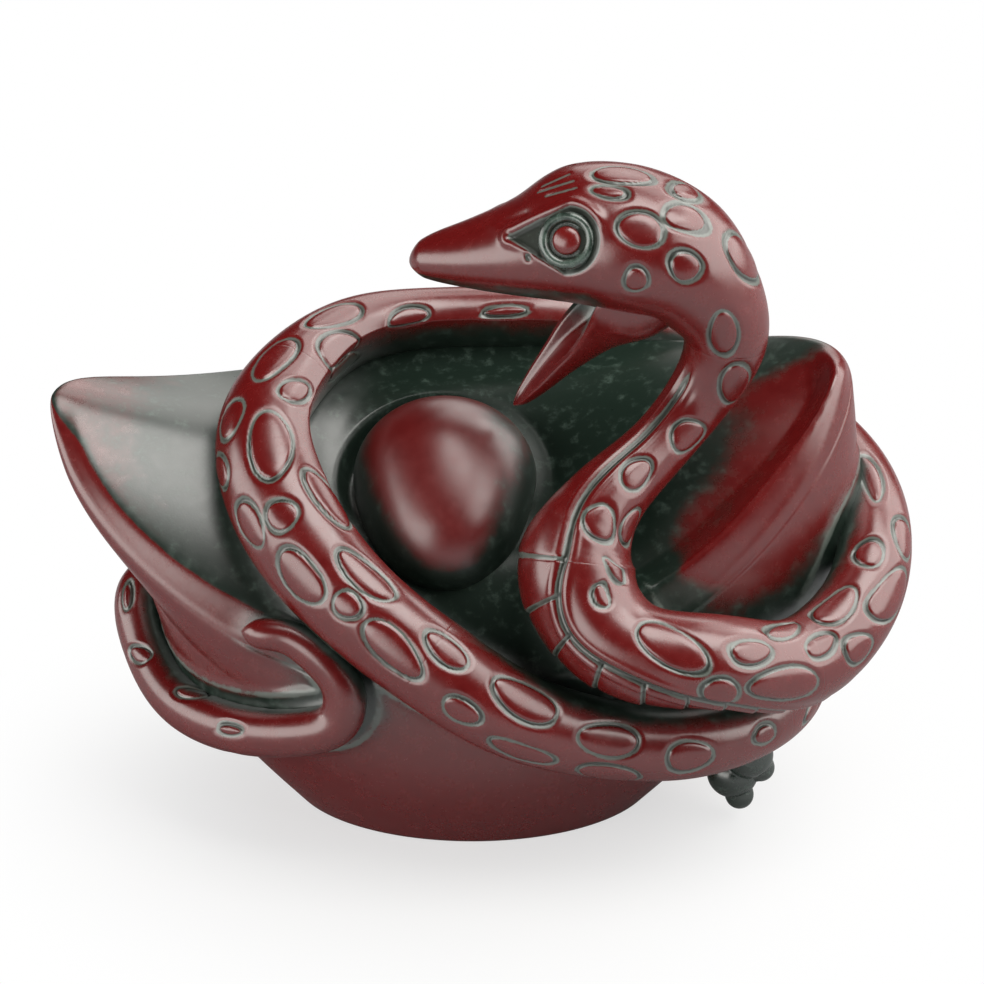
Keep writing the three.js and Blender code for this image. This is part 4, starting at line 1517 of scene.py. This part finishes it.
def dark_material(name, finish):
    """Near-black resin, with a red bead where the piece has one and a paler rubbed ring."""
    material, board = new_material(name)
    place = board.node("ShaderNodeTexCoord", output="Object")
    mottle, grain = (board.noise(place, *pattern) for pattern in (DARK_MOTTLE, GRAIN))
    dry = board.ramp(mottle + board.attribute("ring") * RING_DRYNESS, *DRY_RANGE)
    patina = board.blend(dry, rgba(finish.patina), rgba(finish.dry_patina))
    colour = board.blend(board.attribute("bead"), patina, rgba(finish.warm_red))
    rough = finish.roughness + (mottle - 0.5) * DARK_MOTTLE_ROUGHNESS
    finished(board, colour, rough, grain * GRAIN_BUMP + mottle)
    return material


# Settings
class CarvingSettings(bpy.types.PropertyGroup):
    """Sizes of the carving."""

    spot_depth: bpy.props.FloatProperty(
        name="Spot depth", description="Depth of the groove round a spot",
        default=0.00026, unit="LENGTH", precision=5,
    )
    spot_width: bpy.props.FloatProperty(
        name="Spot groove", description="Half width of the groove round a spot",
        default=0.00016, unit="LENGTH", precision=5,
    )


class FinishSettings(bpy.types.PropertyGroup):
    """Colours and gloss of the resin."""

    deep_red: bpy.props.FloatVectorProperty(
        name="Deep red", description="Darker red of the resin",
        subtype="COLOR", default=(0.125, 0.0036, 0.0042),
    )
    warm_red: bpy.props.FloatVectorProperty(
        name="Warm red", description="Lighter red of the resin",
        subtype="COLOR", default=(0.205, 0.0072, 0.0064),
    )
    patina: bpy.props.FloatVectorProperty(
        name="Patina", description="Black-green rubbed into the crevices",
        subtype="COLOR", default=(0.016, 0.03, 0.022),
    )
    dry_patina: bpy.props.FloatVectorProperty(
        name="Dry patina", description="Grey-green where the patina dried",
        subtype="COLOR", default=(0.09, 0.135, 0.11),
    )
    # Pale grey along the carved lines: dust, lightened to stand in for a painted sheen on the grooves' edges
    dust_and_sheen: bpy.props.FloatVectorProperty(
        name="Dust", description="Pale grey left along the carved lines",
        subtype="COLOR", default=(0.18, 0.215, 0.19),
    )
    roughness: bpy.props.FloatProperty(
        name="Roughness", description="Roughness of the waxed resin",
        default=0.26, min=0, max=1, subtype="FACTOR",
    )


class StageSettings(bpy.types.PropertyGroup):
    """Floor, lamps and surroundings."""

    floor_radius: bpy.props.FloatProperty(
        name="Floor radius", description="Radius of the floor disc", default=2.5, unit="LENGTH"
    )
    floor_glow: bpy.props.FloatProperty(
        name="Floor glow", description="Share of plain white in the floor that the camera sees",
        default=0.62, min=0, max=1, subtype="FACTOR",
    )
    panel_distance: bpy.props.FloatProperty(
        name="Panel distance", description="From the ornament to each lamp panel",
        default=0.75, unit="LENGTH",
    )
    panel_level: bpy.props.FloatProperty(
        name="Panel level", description="Brightness of all the lamp panels together", default=1, min=0
    )
    surroundings: bpy.props.FloatProperty(
        name="Surroundings", description="Light from all round", default=0.01, min=0
    )


PANEL_TINT = (1, 0.985, 0.945)

# Floor: shares of its radius, colours for the light it throws back and for the camera, and the distances
# in metres over which it turns white
FLOOR_HUB = 0.02
FLOOR_BEND = (0.6, 1.4)
FLOOR_RISE = 0.45
FLOOR_RINGS = 40
FLOOR_SIDES = 96
FLOOR_TONES = ((0.41, 0.425, 0.44, 1), (0.45, 0.46, 0.48, 1))
FLOOR_SEEN = (0.84, 0.85, 0.86, 1)
FLOOR_WHITENING = (0.012, 0.045)

# Lamp panels: azimuth from the back, clockwise seen from above, and elevation, both in degrees, width
# and height in metres, and brightness where 1 is white
PANELS = {
    "left_panel": (-117, 14, 1.4, 0.48, 2.6),
    "right_panel": (86, 30, 1.3, 0.72, 2.55),
    "top_panel": (112, 72, 0.45, 0.48, 4),
    "upper_panel": (26, 50, 0.5, 0.36, 1.9),
    "back_panel": (10, 27, 0.45, 0.3, 1.6),
}


# Operators
class ORNAMENT_OT_stage(bpy.types.Operator):
    """Adds the camera, the lamp panels, the dim surroundings and the floor"""

    bl_idname = "ornament.stage"
    bl_label = "Stage"

    def execute(self, context):
        stage = context.scene.ornament_stage
        context.scene.view_settings.view_transform = "Standard"
        self.add_camera(context.scene)
        self.add_panels(context.scene, stage)
        self.add_world(context.scene, stage)
        self.add_floor(context.scene, stage)
        return {"FINISHED"}

    def add_camera(self, scene):
        """The photograph's camera, level with the horizon and tipped down by its elevation."""
        camera = bpy.data.objects.new("camera", bpy.data.cameras.new("camera"))
        camera.data.sensor_width = SENSOR_WIDTH
        camera.data.lens = FOCAL_PIXELS * SENSOR_WIDTH / PHOTO_SIZE
        camera.data.clip_start = CLIP_START
        camera.location = photo_axes()[0] * MM
        camera.rotation_euler = (np.radians(90 - CAMERA_ELEVATION), 0, 0)
        scene.collection.objects.link(camera)
        scene.camera = camera

    def add_panels(self, scene, stage):
        """Panels that face the ornament, each with the power that gives it the set brightness."""
        for name, (azimuth, elevation, width, height, brightness) in PANELS.items():
            lamp = bpy.data.objects.new(name, bpy.data.lights.new(name, "AREA"))
            lamp.data.shape = "RECTANGLE"
            lamp.data.size = width
            lamp.data.size_y = height
            lamp.data.color = PANEL_TINT
            lamp.data.energy = brightness * stage.panel_level * np.pi * width * height
            a, e = np.radians(azimuth), np.radians(elevation)
            way = np.array([np.sin(a) * np.cos(e), np.cos(a) * np.cos(e), np.sin(e)])
            lamp.location = CAMERA_TARGET * MM + way * stage.panel_distance
            lamp.rotation_euler = (np.pi / 2 - e, 0, np.pi - a)
            scene.collection.objects.link(lamp)

    def add_world(self, scene, stage):
        """Even grey light from all round."""
        world = bpy.data.worlds.new("surroundings")
        world.use_nodes = True
        board = Board(world.node_tree)
        sockets = {"Color": WHITE, "Strength": stage.surroundings}
        light = board.node("ShaderNodeBackground", {}, sockets)
        board.node("ShaderNodeOutputWorld", {}, {"Surface": light})
        scene.world = world

    def add_floor(self, scene, stage):
        """A disc, flat in the middle, whose height follows an S-shaped rise further out.

        What the camera sees of it is paler than what lights the ornament, and white further out.
        """
        share = np.linspace(FLOOR_HUB, 1, FLOOR_RINGS)[:, None]
        radius = share * stage.floor_radius
        height = FLOOR_RISE * smooth(*FLOOR_BEND, share) * stage.floor_radius
        a = np.arange(FLOOR_SIDES) * 2 * np.pi / FLOOR_SIDES
        grid = np.stack([radius * np.cos(a), radius * np.sin(a), height + 0 * a], -1)
        points = np.concatenate([grid.reshape(-1, 3), [[0, 0, 0]]])
        quads, fans = grid_faces(*grid.shape[:2])
        hub = fans[:FLOOR_SIDES]
        mesh = bpy.data.meshes.new("floor")
        mesh.from_pydata(points.tolist(), [], quads[:, ::-1].tolist() + hub[:, ::-1].tolist())
        material, board = new_material("pale_floor")
        place = board.node("ShaderNodeTexCoord", output="Object")
        tone = board.blend(board.noise(place, *FLOOR_CLOUDS), *FLOOR_TONES)
        seen = board.node("ShaderNodeLightPath", output="Is Camera Ray")
        tone = board.blend(seen, tone, FLOOR_SEEN)
        paper = board.matt(tone)
        glow = board.node("ShaderNodeEmission", {}, {"Color": WHITE, "Strength": 1.0})
        away = board.node("ShaderNodeVectorMath", {"operation": "LENGTH"}, {0: place}, "Value")
        shows = seen * (stage.floor_glow + (1 - stage.floor_glow) * board.ramp(away, *FLOOR_WHITENING))
        mixed = board.node("ShaderNodeMixShader", {}, {0: shows, 1: paper, 2: glow})
        board.node("ShaderNodeOutputMaterial", {}, {"Surface": mixed})
        mesh.materials.append(material)
        floor = bpy.data.objects.new("floor", mesh)
        scene.collection.objects.link(floor)


class ORNAMENT_OT_ingot(bpy.types.Operator):
    """Adds the ingot's hull and the dome on its deck"""

    bl_idname = "ornament.ingot"
    bl_label = "Ingot"

    def execute(self, context):
        finish = context.scene.ornament_finish
        add_ingot(resin_material("ingot_hull_resin", finish, deck=True))
        add_dome(resin_material("ingot_dome_resin", finish, dulled=DOME_ROUGHNESS))
        return {"FINISHED"}


class ORNAMENT_OT_head(bpy.types.Operator):
    """Adds the head with its eye sockets, the lower jaw and both eyes"""

    bl_idname = "ornament.head"
    bl_label = "Head"

    def execute(self, context):
        scene = context.scene
        resin = resin_material("head_resin", scene.ornament_finish)
        add_section("head", scene.ornament_carving, resin, head_relief)
        add_jaw(resin)
        dark = dark_material("eye_resin", scene.ornament_finish)
        for name, side in (("left_eye", 1), ("right_eye", -1)):
            add_eye(name, side, dark)
        return {"FINISHED"}


class ORNAMENT_OT_body(bpy.types.Operator):
    """Adds the sections of the body from the neck to the tip of the tail"""

    bl_idname = "ornament.body"
    bl_label = "Body"

    def execute(self, context):
        scene = context.scene
        resin = resin_material("body_resin", scene.ornament_finish)
        for name in list(ROUTE)[1:]:
            add_section(name, scene.ornament_carving, resin)
        return {"FINISHED"}


class ORNAMENT_OT_lug(bpy.types.Operator):
    """Adds the lobed lug under the low coil"""

    bl_idname = "ornament.lug"
    bl_label = "Lug"

    def execute(self, context):
        # The lug takes the near-black patina all over: partly its own dark colour, partly painted shade from
        # the low coil above it
        add_lug(dark_material("lug_resin", context.scene.ornament_finish))
        return {"FINISHED"}


class ORNAMENT_PT_panel(bpy.types.Panel):
    """Settings and pieces of the ornament"""

    bl_idname = "ORNAMENT_PT_panel"
    bl_label = "Coiled snake"
    bl_space_type = "VIEW_3D"
    bl_region_type = "UI"
    bl_category = "Ornament"

    def draw(self, context):
        for group in GROUPS:
            settings = getattr(context.scene, group)
            box = self.layout.box()
            for name in settings.__annotations__:
                box.prop(settings, name)
        for operator in OPERATORS:
            self.layout.operator(operator.bl_idname)


GROUPS = {
    "ornament_carving": CarvingSettings,
    "ornament_finish": FinishSettings,
    "ornament_stage": StageSettings,
}
OPERATORS = [ORNAMENT_OT_stage, ORNAMENT_OT_ingot, ORNAMENT_OT_head, ORNAMENT_OT_body, ORNAMENT_OT_lug]


def register():
    """Registers the settings, which the scene then holds, the operators and the panel."""
    for group, settings in GROUPS.items():
        bpy.utils.register_class(settings)
        setattr(bpy.types.Scene, group, bpy.props.PointerProperty(type=settings))
    for kind in (*OPERATORS, ORNAMENT_PT_panel):
        bpy.utils.register_class(kind)


def unregister():
    """Takes away what register added, last first."""
    for kind in (ORNAMENT_PT_panel, *reversed(OPERATORS)):
        bpy.utils.unregister_class(kind)
    for group, settings in GROUPS.items():
        delattr(bpy.types.Scene, group)
        bpy.utils.unregister_class(settings)


def main():
    """Builds the stage and the pieces."""
    register()
    bpy.ops.ornament.stage()
    bpy.ops.ornament.ingot()
    bpy.ops.ornament.head()
    bpy.ops.ornament.body()
    bpy.ops.ornament.lug()


if __name__ == "__main__":
    main()
